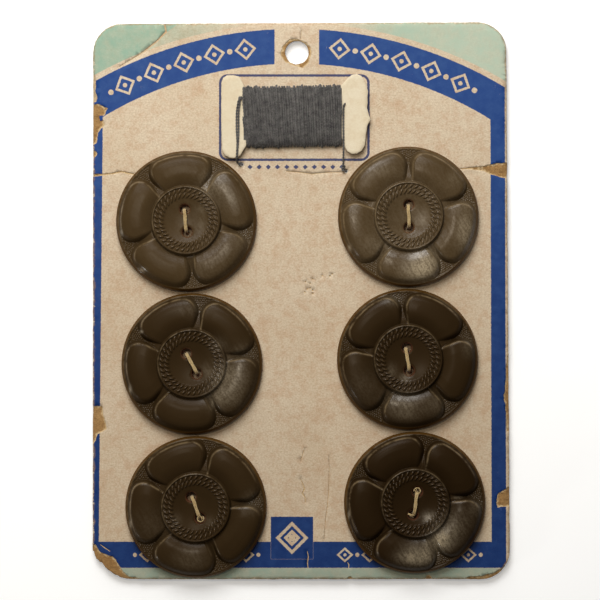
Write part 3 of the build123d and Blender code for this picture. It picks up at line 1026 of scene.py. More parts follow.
class SheetCut:
    """A flat outline with patches, cut into triangles that know their patches."""

    def __init__(self, outline: np.ndarray) -> None:
        """Start with the outer outline."""
        self.points: list[Vector] = []
        self.loops: list[list[int]] = []
        self.add_loop(outline)

    def add_loop(self, outline: np.ndarray) -> None:
        """Add a closed outline, turned anticlockwise where it isn't."""
        corners = np.asarray(outline, float)
        ahead = np.roll(corners, -1, axis=0)
        if np.sum(corners[:, 0] * ahead[:, 1] - ahead[:, 0] * corners[:, 1]) < 0:
            corners = corners[::-1]
        first = len(self.points)
        self.points.extend(Vector((float(x), float(y))) for x, y in corners)
        self.loops.append(list(range(first, len(self.points))))

    def add_points(self, places: np.ndarray) -> None:
        """Add loose points."""
        self.points.extend(Vector((float(x), float(y))) for x, y in places)

    def cut(self) -> tuple[np.ndarray, list[tuple[int, int, int]], list[set[int]]]:
        """Triangles over the sheet.

        Returns:
            The points, the triangles with upward winding, and the loops that each triangle lies in.
        """
        found = geometry.delaunay_2d_cdt(self.points, [], self.loops, 0, 1e-5, True)
        points = np.array([(p[0], p[1]) for p in found[0]])
        triangles, owners = [], []
        for corners, loops in zip(found[2], found[5]):
            if not loops:
                continue
            a, b, c = points[list(corners)[:3]]
            up = (b[0] - a[0]) * (c[1] - a[1]) - (b[1] - a[1]) * (c[0] - a[0]) > 0
            triangles.append(tuple(corners) if up else tuple(reversed(corners)))
            owners.append(set(loops))
        return points, triangles, owners


def slow_waves(x: np.ndarray, y: np.ndarray, lengths: Sequence[float], seed: int) -> np.ndarray:
    """Gentle uneven value over a plane, about -1 to 1.

    Args:
        x, y: Places.
        lengths: Wave lengths that are added up.
        seed: Seed of the random draws.

    Returns:
        One value for each place.
    """
    rng = np.random.default_rng(seed)
    value = np.zeros_like(x, dtype=float)
    for length in lengths:
        for _ in range(3):
            way = rng.uniform(0, 2 * math.pi)
            phase = rng.uniform(0, 2 * math.pi)
            value += np.sin((x * math.cos(way) + y * math.sin(way)) * 2 * math.pi / length + phase)
    return value / (3 * len(lengths))


def hairline(line: Outline, width: float) -> Outline:
    """Outline of a crack that follows a line and thins out at its ends.

    Args:
        line: Points along the crack.
        width: Width at the middle of the crack.

    Returns:
        The closed outline.
    """
    places = np.array(line)
    run = np.gradient(places, axis=0)
    across = np.column_stack([-run[:, 1], run[:, 0]]) / np.hypot(run[:, 0], run[:, 1])[:, None]
    half = across * width / 2 * (0.25 + 0.75 * np.sin(np.linspace(0, math.pi, len(places))))[:, None]
    return [tuple(place) for place in np.concatenate([places + half, (places - half)[::-1]])]


@dataclass
class BackingCard:
    """Printed board with torn and rubbed places, a hang hole and thread holes."""

    width: float = 95.0
    height: float = 127.026
    corner: float = 6.6
    back: float = 1.2
    face: float = 2.2
    torn_depth: float = 0.15
    hang_hole: Point = (-0.9, 56.513)
    hang_radius: float = 2.7
    hang_fray: tuple[float, ...] = (3.4, 3.25, 3.1, 3.0, 3.15, 3.3, 3.25, 3.5,
                                    3.7, 3.6, 3.3, 3.2, 3.15, 3.9, 3.7, 3.35)
    grid: float = 1.1
    tie_holes: tuple[Point, ...] = ((-13.4, 30.86), (10.35, 29.36))
    needle_hole: float = 0.42
    nicks: tuple[Point, ...] = ((2.75, 4.6), (1.1, 4.0), (2.1, 3.6), (1.5, 2.45), (2.05, 2.6), (2.75, 2.1),
                                (0.9, 1.7), (2.7, 1.4), (4.95, 5.4), (6.7, 5.3), (7.2, 5.85))
    nick_radius: float = 0.2
    patches: list[Patch] = field(default_factory=list)

    def __post_init__(self) -> None:
        """List the damaged patches."""
        torn, lost, scuffed = PatchKind.TORN, PatchKind.LOST, PatchKind.SCUFFED
        self.patches += [
            Patch(lost, ring_outline(self.hang_hole, self.hang_radius, 60), 0.05),
            Patch(torn, self._frayed_hole(), 0.1),
            Patch(lost, [(-48.43, -56.79), (-46.95, -57.24), (-46.38, -58.72), (-45.25, -59.74),
                         (-43.65, -61.22), (-42.29, -62.25), (-40.69, -63.07), (-37.74, -63.48),
                         (-34.32, -65.21), (-48.43, -65.21)]),
            Patch(torn, [(-48.43, 44.5), (-46.04, 44.72), (-44.15, 43.59), (-44.56, 42.45), (-45.25, 41.65),
                         (-44.88, 39.94), (-46.16, 37.9), (-46.73, 35.62), (-48.43, 34.71)]),
            Patch(PatchKind.FLECK, [(-46.02, 41.9), (-44.97, 41.95), (-44.84, 40.95), (-45.84, 40.81)]),
            Patch(torn, [(-48.43, 34.03), (-46.73, 34.03), (-46.38, 33.34), (-46.95, 32.55),
                         (-48.43, 32.43)]),
            Patch(torn, [(-48.43, 28.65), (-45.47, 28.7), (-42.97, 28.97), (-40.92, 29.38), (-39.33, 29.02),
                         (-37.96, 28.7), (-37.96, 28.47), (-39.56, 28.65), (-40.92, 29.02), (-42.97, 28.56),
                         (-45.47, 28.2), (-48.43, 27.93)], 0.03),
            Patch(scuffed, [(-3.37, 29.34), (-0.18, 29.16), (2.55, 28.75), (6.65, 29.11), (9.38, 29.11),
                            (9.38, 28.97), (6.65, 28.93), (2.55, 28.52), (-0.18, 28.93),
                            (-3.37, 29.16)], 0.02),
            Patch(torn, [(35.32, 29.84), (40.79, 30.27), (43.29, 30.89), (48.52, 31.52), (48.52, 27.2),
                         (45.34, 27.99), (43.29, 28.52), (41.7, 29.34), (38.51, 29.75),
                         (35.32, 29.66)], 0.05),
            Patch(scuffed, [(-30.91, 62.93), (-30.54, 61.22), (-32.5, 59.15), (-35.69, 56.56),
                            (-38.87, 54.62), (-41.38, 53.1), (-41.46, 53.22), (-39.0, 54.84), (-35.88, 56.8),
                            (-32.82, 59.36), (-31.0, 61.3), (-31.3, 62.93)], 0.03),
            Patch(torn, [(-48.43, -24.24), (-45.25, -24.13), (-44.91, -25.38), (-44.22, -29.25),
                         (-44.79, -29.82), (-46.04, -30.61), (-46.61, -31.98), (-47.18, -32.89),
                         (-48.43, -32.89)]),
            Patch(torn, [(-48.43, -54.97), (-46.61, -55.53), (-45.25, -57.36), (-44.11, -57.7),
                         (-42.97, -58.15), (-42.06, -58.83), (-41.61, -59.74), (-40.92, -60.77),
                         (-40.35, -61.79), (-38.87, -62.82), (-37.05, -63.2), (-34.32, -64.75),
                         (-48.43, -64.75)]),
            Patch(scuffed, [(-45.47, -55.53), (-44.34, -56.22), (-43.2, -57.06), (-43.29, -57.22),
                            (-44.45, -56.42), (-45.52, -55.67)], 0.02),
            Patch(torn, [(48.75, -42.22), (47.04, -42.56), (45.57, -43.59), (44.66, -44.27), (44.43, -46.54),
                         (44.66, -47.11), (46.48, -47.0), (48.75, -46.77)]),
            Patch(torn, [(48.98, -57.7), (47.66, -58.38), (47.3, -59.74), (46.02, -60.54), (44.77, -61.47),
                         (43.06, -62.2), (40.33, -62.61), (37.6, -63.02), (37.6, -65.21), (48.98, -65.21)]),
            Patch(torn, [(48.75, -11.95), (46.93, -12.86), (46.61, -15.14), (46.52, -18.32), (46.43, -20.6),
                         (46.02, -21.51), (46.11, -22.87), (46.48, -23.78), (46.57, -26.97), (46.75, -29.7),
                         (48.75, -30.61)]),
            Patch(torn, [(10.29, -63.98), (10.65, -62.84), (11.29, -62.7), (11.79, -63.11), (12.02, -63.98)]),
            Patch(torn, [(28.04, -63.84), (28.5, -62.61), (29.09, -62.43), (29.54, -62.93), (30.09, -63.84)]),
            Patch(scuffed, [(1.55, -57.01), (1.82, -58.38), (1.59, -59.74), (1.73, -60.97), (1.55, -60.97),
                            (1.39, -59.74), (1.59, -58.38), (1.37, -57.01)], 0.02),
            Patch(scuffed, [(10.65, -59.52), (11.02, -60.11), (10.88, -60.97), (10.7, -60.97),
                            (10.79, -60.15), (10.49, -59.61)], 0.02),
            Patch(torn, hairline([(6.4, -35.4), (6.45, -39.0), (6.35, -43.4), (6.05, -46.8), (5.62, -50.2),
                                  (5.3, -54.7)], 0.11), 0.0),
            Patch(torn, hairline([(0.85, -33.9), (0.5, -34.9), (0.1, -36.2), (0.05, -37.0)], 0.13), 0.0),
            Patch(torn, hairline([(-0.15, -40.7), (0.5, -42.0), (0.85, -43.0), (0.35, -44.0), (0.95, -44.9),
                                  (1.15, -46.2)], 0.28), 0.0),
            Patch(scuffed, [(-48.43, 51.6), (-47.1, 51.2), (-46.75, 49.6), (-46.95, 47.6), (-46.5, 46.1),
                            (-46.7, 45.1), (-48.43, 44.9)], 0.08),
            Patch(scuffed, [(0.0, 59.4), (-0.02, 60.43), (0.12, 61.66), (0.2, 61.61), (0.12, 60.43),
                            (0.16, 59.4)], 0.02),
        ]
        self.patches += [Patch(lost, ring_outline(hole, self.needle_hole, 14), 0.02)
                         for hole in self.tie_holes]
        self.patches += [Patch(torn, ring_outline(place, self.nick_radius, 7), 0.05) for place in self.nicks]

    def _frayed_hole(self) -> Outline:
        """Uneven ring of torn face paper round the hang hole."""
        turns = np.linspace(0, 2 * math.pi, len(self.hang_fray), endpoint=False)
        return [(self.hang_hole[0] + reach * math.cos(turn), self.hang_hole[1] + reach * math.sin(turn))
                for reach, turn in zip(self.hang_fray, turns)]

    def edge_line(self) -> np.ndarray:
        """Outline of the board, which was cut a little out of square."""
        corners = np.array(rounded_outline(self.width - 0.14, self.height - 0.14, self.corner))
        across, up = corners[:, 0] / self.width * 2, corners[:, 1] / self.height * 2
        corners[:, 0] -= 0.25 * (1 + up) * np.clip(across, 0, 1)
        corners[:, 0] += 0.12 * (1 - up) * np.clip(-across, 0, 1)
        corners[:, 1] -= 0.2 * (1 - across) * np.clip(up, 0, 1)
        return ragged(corners, 0.45, 0.03, 11)

    def _cut(self) -> tuple[np.ndarray, list[tuple[int, int, int]], list[int]]:
        """Triangles of the board with the coat that each wears: 0 printed, 1 torn core, 2 bare paper."""
        rng = np.random.default_rng(4)
        sheet = SheetCut(self.edge_line())
        for number, patch in enumerate(self.patches):
            sheet.add_loop(ragged(patch.outline, patch.step, patch.wander, 100 + number))
        columns = np.arange(-self.width / 2 + 0.8, self.width / 2 - 0.6, self.grid)
        rows = np.arange(-self.height / 2 + 0.8, self.height / 2 - 0.6, self.grid)
        places = np.stack(np.meshgrid(columns, rows), axis=-1).reshape(-1, 2)
        sheet.add_points(places + rng.uniform(-0.3, 0.3, places.shape) * self.grid)
        for patch in self.patches:
            if patch.kind is PatchKind.TORN:
                low, high = np.min(patch.outline, axis=0), np.max(patch.outline, axis=0)
                count = int(np.prod(high - low) * 9)
                loose = rng.uniform(low, high, (count, 2))
                sheet.add_points(np.clip(loose, (-47.2, -63.2), (47.2, 63.2)))
        points, triangles, owners = sheet.cut()
        kept, coats = [], []
        for triangle, loops in zip(triangles, owners):
            kinds = {self.patches[loop - 1].kind for loop in loops if loop}
            if 0 not in loops or PatchKind.LOST in kinds:
                continue
            coat = 0
            if PatchKind.TORN in kinds and PatchKind.FLECK not in kinds:
                coat = 1
            elif PatchKind.SCUFFED in kinds:
                coat = 2
            kept.append(triangle)
            coats.append(coat)
        return points, kept, coats

    def _tears(self) -> list[np.ndarray]:
        """Ragged outlines of the places where the face paper is torn off."""
        return [ragged(patch.outline, patch.step, patch.wander, 100 + number)
                for number, patch in enumerate(self.patches) if patch.kind is PatchKind.TORN]

    def _heights(self, points: np.ndarray) -> list[np.ndarray]:
        """Height of the printed face, the torn core, the bare paper and the back at each point."""
        x, y = points[:, 0], points[:, 1]
        warp = 0.025 * (slow_waves(x, y, (34.0, 19.0), 3) - 1)
        crease_y = 28.6 + 0.4 * np.sin(x / 6)
        warp -= 0.09 * np.exp(-((y - crease_y) / 0.7) ** 2)
        low_crease_y = -32.2 - 1.1 * ramp(x, -1.0, 6.0)
        warp -= 0.05 * np.exp(-((y - low_crease_y) / 0.6) ** 2) * ramp(np.abs(x - 3.0), 14.0, 6.0)
        edge = distance_to(self.edge_line(), points)
        face = self.face + warp - 0.12 * (1 - ramp(edge, 0.0, 0.5))
        rough = slow_waves(x, y, (1.1, 0.7, 0.45), 8)
        core = self.face + warp - self.torn_depth + 0.05 * rough - 0.3 * (1 - ramp(edge, 0.0, 1.4))
        return [face, core, face - 0.05, np.full(len(points), self.back)]

    def build(self, finishes: Finishes) -> None:
        """Make the card.

        Args:
            finishes: The materials.
        """
        points, triangles, coats = self._cut()
        heights = self._heights(points)
        draft = MeshDraft()
        count = len(points)
        levels = np.concatenate([np.column_stack([points, height]) for height in heights])
        draft.add(levels, [])
        back = 3
        sides: dict[tuple[int, int], list[tuple[int, int, int]]] = {}
        faces: list[list[tuple[int, ...]]] = [[], [], [], []]
        for triangle, coat in zip(triangles, coats):
            faces[coat].append(tuple(corner + coat * count for corner in triangle))
            faces[back].append(tuple(corner + back * count for corner in reversed(triangle)))
            for start, end in zip(triangle, triangle[1:] + triangle[:1]):
                sides.setdefault((min(start, end), max(start, end)), []).append((start, end, coat))
        for uses in sides.values():
            start, end, coat = uses[0]
            other = back if len(uses) == 1 else uses[1][2]
            if other != coat:
                faces[1].append((end + coat * count, start + coat * count,
                                 start + other * count, end + other * count))
        for coat, group in enumerate(faces):
            draft.add_faces(group, coat)
        card = draft.finish("backing_card_board",
                            [finishes.printed, finishes.core, finishes.bare, finishes.back])
        drop_loose(card)
        spots = places_of(card)[:, :2]
        mark(card, "edge", distance_to(self.edge_line(), spots))
        mark(card, "tear", np.min([distance_to(tear, spots) for tear in self._tears()], axis=0))
        dress(card, "backing_card")


def drop_loose(piece: bpy.types.Object) -> None:
    """Remove points that no face uses."""
    used = np.zeros(len(piece.data.vertices), bool)
    corners = np.zeros(len(piece.data.loops), np.int32)
    piece.data.loops.foreach_get("vertex_index", corners)
    used[corners] = True
    places = np.zeros(len(used) * 3, np.float32)
    piece.data.vertices.foreach_get("co", places)
    numbers = np.cumsum(used) - 1
    faces = [[int(numbers[v]) for v in polygon.vertices] for polygon in piece.data.polygons]
    coats = [polygon.material_index for polygon in piece.data.polygons]
    fresh = bpy.data.meshes.new(piece.name)
    fresh.from_pydata(places.reshape(-1, 3)[used].tolist(), [], faces)
    for material in piece.data.materials:
        fresh.materials.append(material)
    fresh.polygons.foreach_set("material_index", coats)
    fresh.polygons.foreach_set("use_smooth", [True] * len(faces))
    fresh.update()
    old = piece.data
    piece.data = fresh
    bpy.data.meshes.remove(old)
    fresh.name = piece.name


# ---------------------------------------------------------------- buttons


@dataclass(frozen=True)
class Sheen:
    """Place on a button painted brighter, with a glossier coat; most are painted sheens and glints of
    reflected light, one is a real pale chip.
    """

    x: float
    y: float
    half_x: float
    half_y: float
    strength: float


@dataclass
class FlowerButton:
    """Moulded two-hole coat button with a five-petal flower, a roped ring and a dish."""

    land_height: float = 2.4
    petal_count: int = 5
    petal_reach: float = 15.55
    petal_gap: float = 0.2
    petal_corner: float = 4.4
    shoulder_end: float = 15.95
    shoulder_width: float = 2.7
    shoulder_power: float = 2.4
    wall_depths: tuple[float, ...] = (0.0, 0.35, 0.8, 1.2, 3.0)
    wall_heights: tuple[float, ...] = (0.0, 0.78, 1.36, 1.54, 1.64)
    wall_blur: float = 0.08
    pillow_height: float = 0.26
    pillow_middle: float = 11.6
    pillow_half: Point = (3.8, 6.5)
    heel_start: float = 10.9
    heel_width: float = 2.9
    heel_drop: float = 1.7
    pimple_pitch: float = 0.5
    pimple_height: float = 0.2
    pimple_spread: float = 0.034
    lit_from: Point = (-0.45, 0.89)
    ring_radius: float = 7.5
    ring_height: float = 4.75
    rope_inner: float = 5.0
    rope_outer: float = 7.25
    rope_ribs: int = 36
    rope_height: float = 0.42
    rope_slant: float = 0.66
    rope_rows: tuple[Spot, Spot] = ((6.74, 0.56, 0.0), (5.66, 0.6, math.pi))
    crest_half: Point = (0.4, 0.62)
    dish_floor: float = 3.55
    dish_edge: float = 4.0
    hole_offset: float = 2.6
    hole_radius: float = 1.1
    mouth_radius: float = 1.45
    hole_sides: int = 48
    flower_start: Point = (7.7, 8.0)
    back_radius: float = 14.9
    rim_profile: tuple[Point, ...] = ((15.62, 2.28), (15.77, 2.04), (15.89, 1.73), (15.97, 1.42), (16.0, 1.15),
                                      (15.93, 0.88), (15.75, 0.52), (15.5, 0.24), (15.2, 0.07))
    steps_by_groove: int = 64
    steps_on_petal: int = 36
    groove_span: float = 32.0
    seat: float = 2.2
    angles: dict[str, float] = field(default_factory=lambda: {
        "top_left": -83.5, "top_right": 90.0, "middle_left": -62.5,
        "middle_right": 96.0, "bottom_left": -67.0, "bottom_right": 79.0})
    # Share of painted greyish reflection haze on each button.
    reflection_haze: dict[str, float] = field(default_factory=lambda: {
        "top_left": 0.4, "top_right": 0.5, "middle_left": 0.14,
        "middle_right": 0.08, "bottom_left": 0.14, "bottom_right": 0.0})
    # Painted glints on the lower left of the rims, and one real pale chip on the middle-left button.
    chips: dict[str, tuple[Sheen, ...]] = field(default_factory=lambda: {
        "top_left": (Sheen(-9.9, -11.2, 0.8, 0.45, 2.2), Sheen(-14.6, -2.9, 0.35, 0.8, 1.4)),
        "top_right": (Sheen(-13.5, -7.3, 0.4, 0.8, 2.2),),
        "middle_left": (Sheen(-13.9, -5.8, 0.35, 0.8, 2.2), Sheen(-11.4, 7.2, 0.4, 0.32, 3.0),
                        Sheen(4.7, -9.0, 0.3, 0.8, 1.3)),
        "middle_right": (),
        "bottom_left": (Sheen(-14.7, -3.7, 0.32, 0.9, 2.2),),
        "bottom_right": (Sheen(-14.9, -2.6, 0.3, 0.9, 2.0), Sheen(9.6, 1.2, 0.9, 0.25, 1.4))})
    # Painted sheens of reflected light on each button, where the coat is glossier too.
    sheens: dict[str, tuple[Sheen, ...]] = field(default_factory=lambda: {
        "top_left": (Sheen(6.0, 8.2, 2.8, 3.0, 1.0), Sheen(9.6, 4.2, 3.4, 3.4, 0.35),
                     Sheen(8.5, -6.5, 4.0, 3.5, 0.3), Sheen(13.0, -3.6, 2.0, 3.2, 0.4),
                     Sheen(4.0, -10.8, 4.0, 2.5, 0.35), Sheen(3.4, 2.6, 1.3, 1.3, 0.45),
                     Sheen(3.6, -1.2, 1.2, 2.0, 0.4), Sheen(0.0, 0.0, 15.0, 15.0, 0.1)),
        "top_right": (Sheen(3.2, -11.4, 2.6, 2.8, 3.6), Sheen(0.0, -12.8, 2.4, 1.8, 1.0),
                      Sheen(5.2, -8.8, 2.0, 2.0, 0.7), Sheen(-6.8, -7.2, 3.5, 3.5, 0.5),
                      Sheen(12.9, -3.6, 1.9, 4.0, 1.7), Sheen(-6.5, 10.6, 4.0, 1.8, 0.4),
                      Sheen(-12.6, 0.5, 1.2, 3.0, 0.35), Sheen(12.0, 2.7, 2.5, 1.2, 0.35),
                      Sheen(10.3, 8.4, 1.5, 2.0, 0.45), Sheen(0.0, 0.0, 16.0, 16.0, 0.35)),
        "middle_left": (Sheen(8.4, -3.2, 3.6, 3.4, 1.3), Sheen(5.8, -7.8, 2.6, 2.4, 0.8),
                        Sheen(9.2, -7.6, 2.6, 2.2, 0.4), Sheen(11.6, 2.4, 2.4, 2.0, 0.45),
                        Sheen(6.2, 4.2, 1.8, 1.8, 0.45), Sheen(0.8, 12.5, 3.0, 2.0, 0.35),
                        Sheen(3.5, -1.5, 1.2, 1.6, 0.3)),
        "middle_right": (Sheen(-0.9, -9.3, 4.0, 2.2, 0.8), Sheen(-3.2, 13.6, 2.2, 1.4, 0.7),
                         Sheen(-0.6, -12.2, 3.4, 1.6, 0.55), Sheen(6.2, -10.2, 2.4, 2.2, 0.45),
                         Sheen(13.6, 3.2, 1.4, 2.4, 0.45), Sheen(-10.5, -6.3, 4.0, 4.0, 0.2),
                         Sheen(-3.6, -2.6, 1.0, 1.4, 0.6), Sheen(-0.7, -4.2, 1.1, 0.9, 1.0)),
        "bottom_left": (Sheen(-1.1, -11.7, 3.5, 2.5, 0.4), Sheen(-9.9, -3.9, 4.0, 4.0, 0.2),
                        Sheen(12.6, 1.0, 2.0, 2.4, 0.45), Sheen(-4.2, -3.0, 1.0, 1.5, 0.35),
                        Sheen(3.2, -3.0, 1.2, 1.2, 0.3)),
        "bottom_right": (Sheen(5.6, -8.2, 2.2, 2.2, 2.9), Sheen(8.0, -6.4, 2.8, 2.8, 0.7),
                         Sheen(9.4, -3.5, 3.5, 3.0, 0.35), Sheen(0.2, -12.2, 3.4, 1.6, 2.4),
                         Sheen(0.6, -10.0, 3.5, 2.0, 0.5), Sheen(2.4, -10.5, 0.8, 2.0, 0.8),
                         Sheen(13.8, -0.8, 1.5, 2.0, 0.45), Sheen(3.2, -3.1, 1.4, 1.2, 0.8))})

    def petal_depth(self, radius: np.ndarray, angle: np.ndarray) -> np.ndarray:
        """How far inside a petal's outline each place lies; below zero between petals."""
        sector = 2 * math.pi / self.petal_count
        off = np.abs(np.mod(angle, sector) - sector / 2)
        side = radius * np.sin(sector / 2 - off) - self.petal_gap / 2
        arc = self.petal_reach - radius
        corner = self.petal_corner - np.hypot(self.petal_corner - side, self.petal_corner - arc)
        near = (side < self.petal_corner) & (arc < self.petal_corner)
        return np.where(near, corner, np.minimum(side, arc))

    def petal_rise(self, radius: np.ndarray, angle: np.ndarray) -> np.ndarray:
        """Height of a petal over the land, with walls, a low crown and a round shoulder at the rim."""
        depth = self.petal_depth(radius, angle)
        step, reach = 0.01, 20
        table = np.arange(-1.0, 16.0, step)
        rise = np.interp(table, self.wall_depths, self.wall_heights)
        kernel = np.exp(-(np.arange(-reach, reach + 1) * step / self.wall_blur) ** 2)
        rise = np.convolve(np.pad(rise, reach, mode="edge"), kernel / kernel.sum(), mode="valid")
        sector = 2 * math.pi / self.petal_count
        across = radius * np.sin(np.mod(angle, sector) - sector / 2)
        off_middle = (radius - self.pillow_middle) / self.pillow_half[0]
        pillow = np.maximum(1 - off_middle ** 2 - (across / self.pillow_half[1]) ** 2, -1.2)
        pillow -= self.heel_drop * np.clip((self.heel_start - radius) / self.heel_width, 0, 1) ** 2
        inward = np.clip((self.shoulder_end - radius) / self.shoulder_width, 0, 1)
        shoulder = 1 - (1 - inward) ** self.shoulder_power
        crown = self.pillow_height * pillow * ramp(depth, 0.0, 0.9)
        return (np.interp(depth, table, rise) + crown) * shoulder

    def stipple(self, x: np.ndarray, y: np.ndarray) -> np.ndarray:
        """Low pimples of the ground between the petals."""
        rng = np.random.default_rng(21)
        pitch = self.pimple_pitch
        value = np.zeros_like(x)
        for row in range(-35, 36):
            for column in range(-31, 31):
                place = np.array([(column + 0.5 * (row % 2)) * pitch, row * pitch * 0.87])
                place += rng.uniform(-0.07, 0.07, 2)
                reach, turn = np.hypot(*place), np.arctan2(place[1], place[0])
                if 9.0 < reach < 15.15 and self.petal_depth(reach, turn) < 0.0:
                    away = (x - place[0]) ** 2 + (y - place[1]) ** 2
                    value = np.maximum(value, np.exp(-away / self.pimple_spread))
        return self.pimple_height * value

    def rope(self, radius: np.ndarray, angle: np.ndarray) -> np.ndarray:
        """Two slanting rows of ribs on the inner slope of the ring."""
        phase = self.rope_ribs * (angle + self.rope_slant * np.log(np.maximum(radius, 1.0) / 6.2))
        rise = np.zeros_like(radius)
        for middle, half, start in self.rope_rows:
            envelope = np.clip(1 - ((radius - middle) / half) ** 2, 0, 1) ** 0.6
            rise = np.maximum(rise, envelope * (0.5 + 0.5 * np.cos(phase + start)) ** 0.9)
        return self.rope_height * rise

    def face_height(self, radius: np.ndarray, angle: np.ndarray) -> np.ndarray:
        """Height of the button's face over its back."""
        x, y = radius * np.cos(angle), radius * np.sin(angle)
        depth = self.petal_depth(radius, angle)
        ground = self.land_height + 0.2 * ramp(radius, 15.0, 15.4) + 0.9 * ramp(radius, 12.2, 8.4)
        ground = ground + self.stipple(x, y) * ramp(-depth, 0.0, 0.12)
        height = np.maximum(ground, self.land_height + self.petal_rise(radius, angle))
        half = np.where(radius < self.ring_radius, *self.crest_half)
        crest = self.ring_height - 1.6 * np.abs((radius - self.ring_radius) / half) ** 2.2
        slope = np.interp(radius, (self.rope_inner, self.rope_outer),
                          (self.dish_edge, self.ring_height - 0.5))
        inner = np.maximum(np.where(radius < self.ring_radius, slope + self.rope(radius, angle), 0.0),
                           np.where(radius > self.rope_outer - 0.25, crest, 0.0))
        return np.where(radius < self.ring_radius, inner, np.maximum(height, crest))

    def turns(self) -> np.ndarray:
        """Angles of the points round the button, closest together beside the grooves."""
        sector = 360.0 / self.petal_count
        half = self.groove_span / 2
        steps = np.concatenate([np.linspace(-half, half, self.steps_by_groove, endpoint=False),
                                np.linspace(half, sector - half, self.steps_on_petal, endpoint=False)])
        return np.radians(np.concatenate([steps + sector * number for number in range(self.petal_count)]))

    def _rings(self) -> tuple[np.ndarray, np.ndarray]:
        """Radius and fixed height of each ring of points; a height below zero follows the face."""
        face = np.concatenate([
            np.linspace(self.rope_inner, self.rope_outer, 20, endpoint=False),
            np.linspace(self.rope_outer, 8.4, 16, endpoint=False),
            np.linspace(8.4, 12.0, 18, endpoint=False),
            np.linspace(12.0, 15.45, 41)])
        rim = [*self.rim_profile, (self.back_radius, 0.0)]
        radii = np.concatenate([face, [r for r, _ in rim]])
        heights = np.concatenate([np.full(len(face), -1.0), [z for _, z in rim]])
        return radii, heights

    def _middle(self) -> tuple[np.ndarray, list[tuple[int, int, int]]]:
        """Points and triangles of the dish, round its two holes."""
        turns = self.turns()
        sheet = SheetCut(self.rope_inner * np.column_stack([np.cos(turns), np.sin(turns)]))
        holes = [(side * self.hole_offset, 0.0) for side in (-1, 1)]
        for hole in holes:
            sheet.add_loop(np.array(ring_outline(hole, self.mouth_radius, self.hole_sides)))
        loose = []
        for reach in (4.75, 4.45, 4.1, 3.6, 3.1, 2.6, 2.1, 1.6, 1.1, 0.6, 0.2):
            for turn in np.arange(0, 2 * math.pi, 0.3 / reach if reach > 0.3 else 1.5):
                place = (reach * math.cos(turn), reach * math.sin(turn))
                if all(math.dist(place, hole) > self.mouth_radius + 0.18 for hole in holes):
                    loose.append(place)
        sheet.add_points(np.array(loose))
        points, triangles, owners = sheet.cut()
        kept = [t for t, loops in zip(triangles, owners) if loops == {0}]
        return points, kept

    def build(self, material: bpy.types.Material) -> bpy.types.Mesh:
        """Make the mesh that the six buttons share, with its back at height zero.

        Args:
            material: The plastic.

        Returns:
            The mesh, in metres.
        """
        draft = MeshDraft()
        radii, fixed = self._rings()
        turns = self.turns()
        radius, angle = np.meshgrid(radii, turns, indexing="ij")
        height = np.where(fixed[:, None] < 0, self.face_height(radius, angle), fixed[:, None])
        points = np.stack([radius * np.cos(angle), radius * np.sin(angle), height], axis=-1).reshape(-1, 3)
        rows, round_count = len(radii), len(turns)
        faces = []
        for row in range(rows - 1):
            for step in range(round_count):
                beside = (step + 1) % round_count
                faces.append((row * round_count + step, (row + 1) * round_count + step,
                              (row + 1) * round_count + beside, row * round_count + beside))
        draft.add(points, faces)
        self._add_middle(draft)
        self._add_back(draft)
        piece = draft.finish("flower_button", [material])
        self._join(piece)
        self._mark(piece)
        mesh = piece.data
        bpy.data.objects.remove(piece)
        return mesh

    def _dish(self, places: np.ndarray) -> np.ndarray:
        """Height of the dish at places inside the roped ring."""
        share = np.hypot(places[:, 0], places[:, 1]) / self.rope_inner
        return self.dish_floor + (self.dish_edge - self.dish_floor) * share ** 2.2

    def _add_middle(self, draft: MeshDraft) -> None:
        """Add the dish and the walls of its holes."""
        points, triangles = self._middle()
        rim = np.isclose(np.hypot(points[:, 0], points[:, 1]), self.rope_inner, atol=1e-3)
        heights = self._dish(points)
        angle = np.arctan2(points[:, 1], points[:, 0])
        heights[rim] = self.face_height(np.full(rim.sum(), self.rope_inner), angle[rim])
        draft.add(np.column_stack([points, heights]), triangles)
        for side in (-1, 1):
            centre = (side * self.hole_offset, 0.0)
            rings = []
            for reach, drop in ((self.mouth_radius, 0.0), (1.34, 0.05), (1.22, 0.16), (1.13, 0.34),
                                (self.hole_radius, 0.6), (self.hole_radius, 2.0),
                                (self.hole_radius, self.dish_floor)):
                ring = np.array(ring_outline(centre, reach, self.hole_sides))
                level = self._dish(ring) - drop if drop < self.dish_floor else np.zeros(len(ring))
                rings.append(np.column_stack([ring, level]))
            faces = tube_faces(len(rings), self.hole_sides)[:-2]
            draft.add(np.concatenate(rings), [tuple(reversed(face)) for face in faces])

    def _add_back(self, draft: MeshDraft) -> None:
        """Add the flat back round the two holes."""
        turns = self.turns()
        sheet = SheetCut(self.back_radius * np.column_stack([np.cos(turns), np.sin(turns)]))
        for side in (-1, 1):
            centre = (side * self.hole_offset, 0.0)
            sheet.add_loop(np.array(ring_outline(centre, self.hole_radius, self.hole_sides)))
        points, triangles, owners = sheet.cut()
        kept = [tuple(reversed(t)) for t, loops in zip(triangles, owners) if loops == {0}]
        draft.add(np.column_stack([points, np.zeros(len(points))]), kept)

    @staticmethod
    def _join(piece: bpy.types.Object) -> None:
        """Weld the blocks of the button where their points meet."""
        body = bmesh.new()
        body.from_mesh(piece.data)
        bmesh.ops.remove_doubles(body, verts=body.verts, dist=2e-6)
        bmesh.ops.recalc_face_normals(body, faces=body.faces)
        body.to_mesh(piece.data)
        body.free()

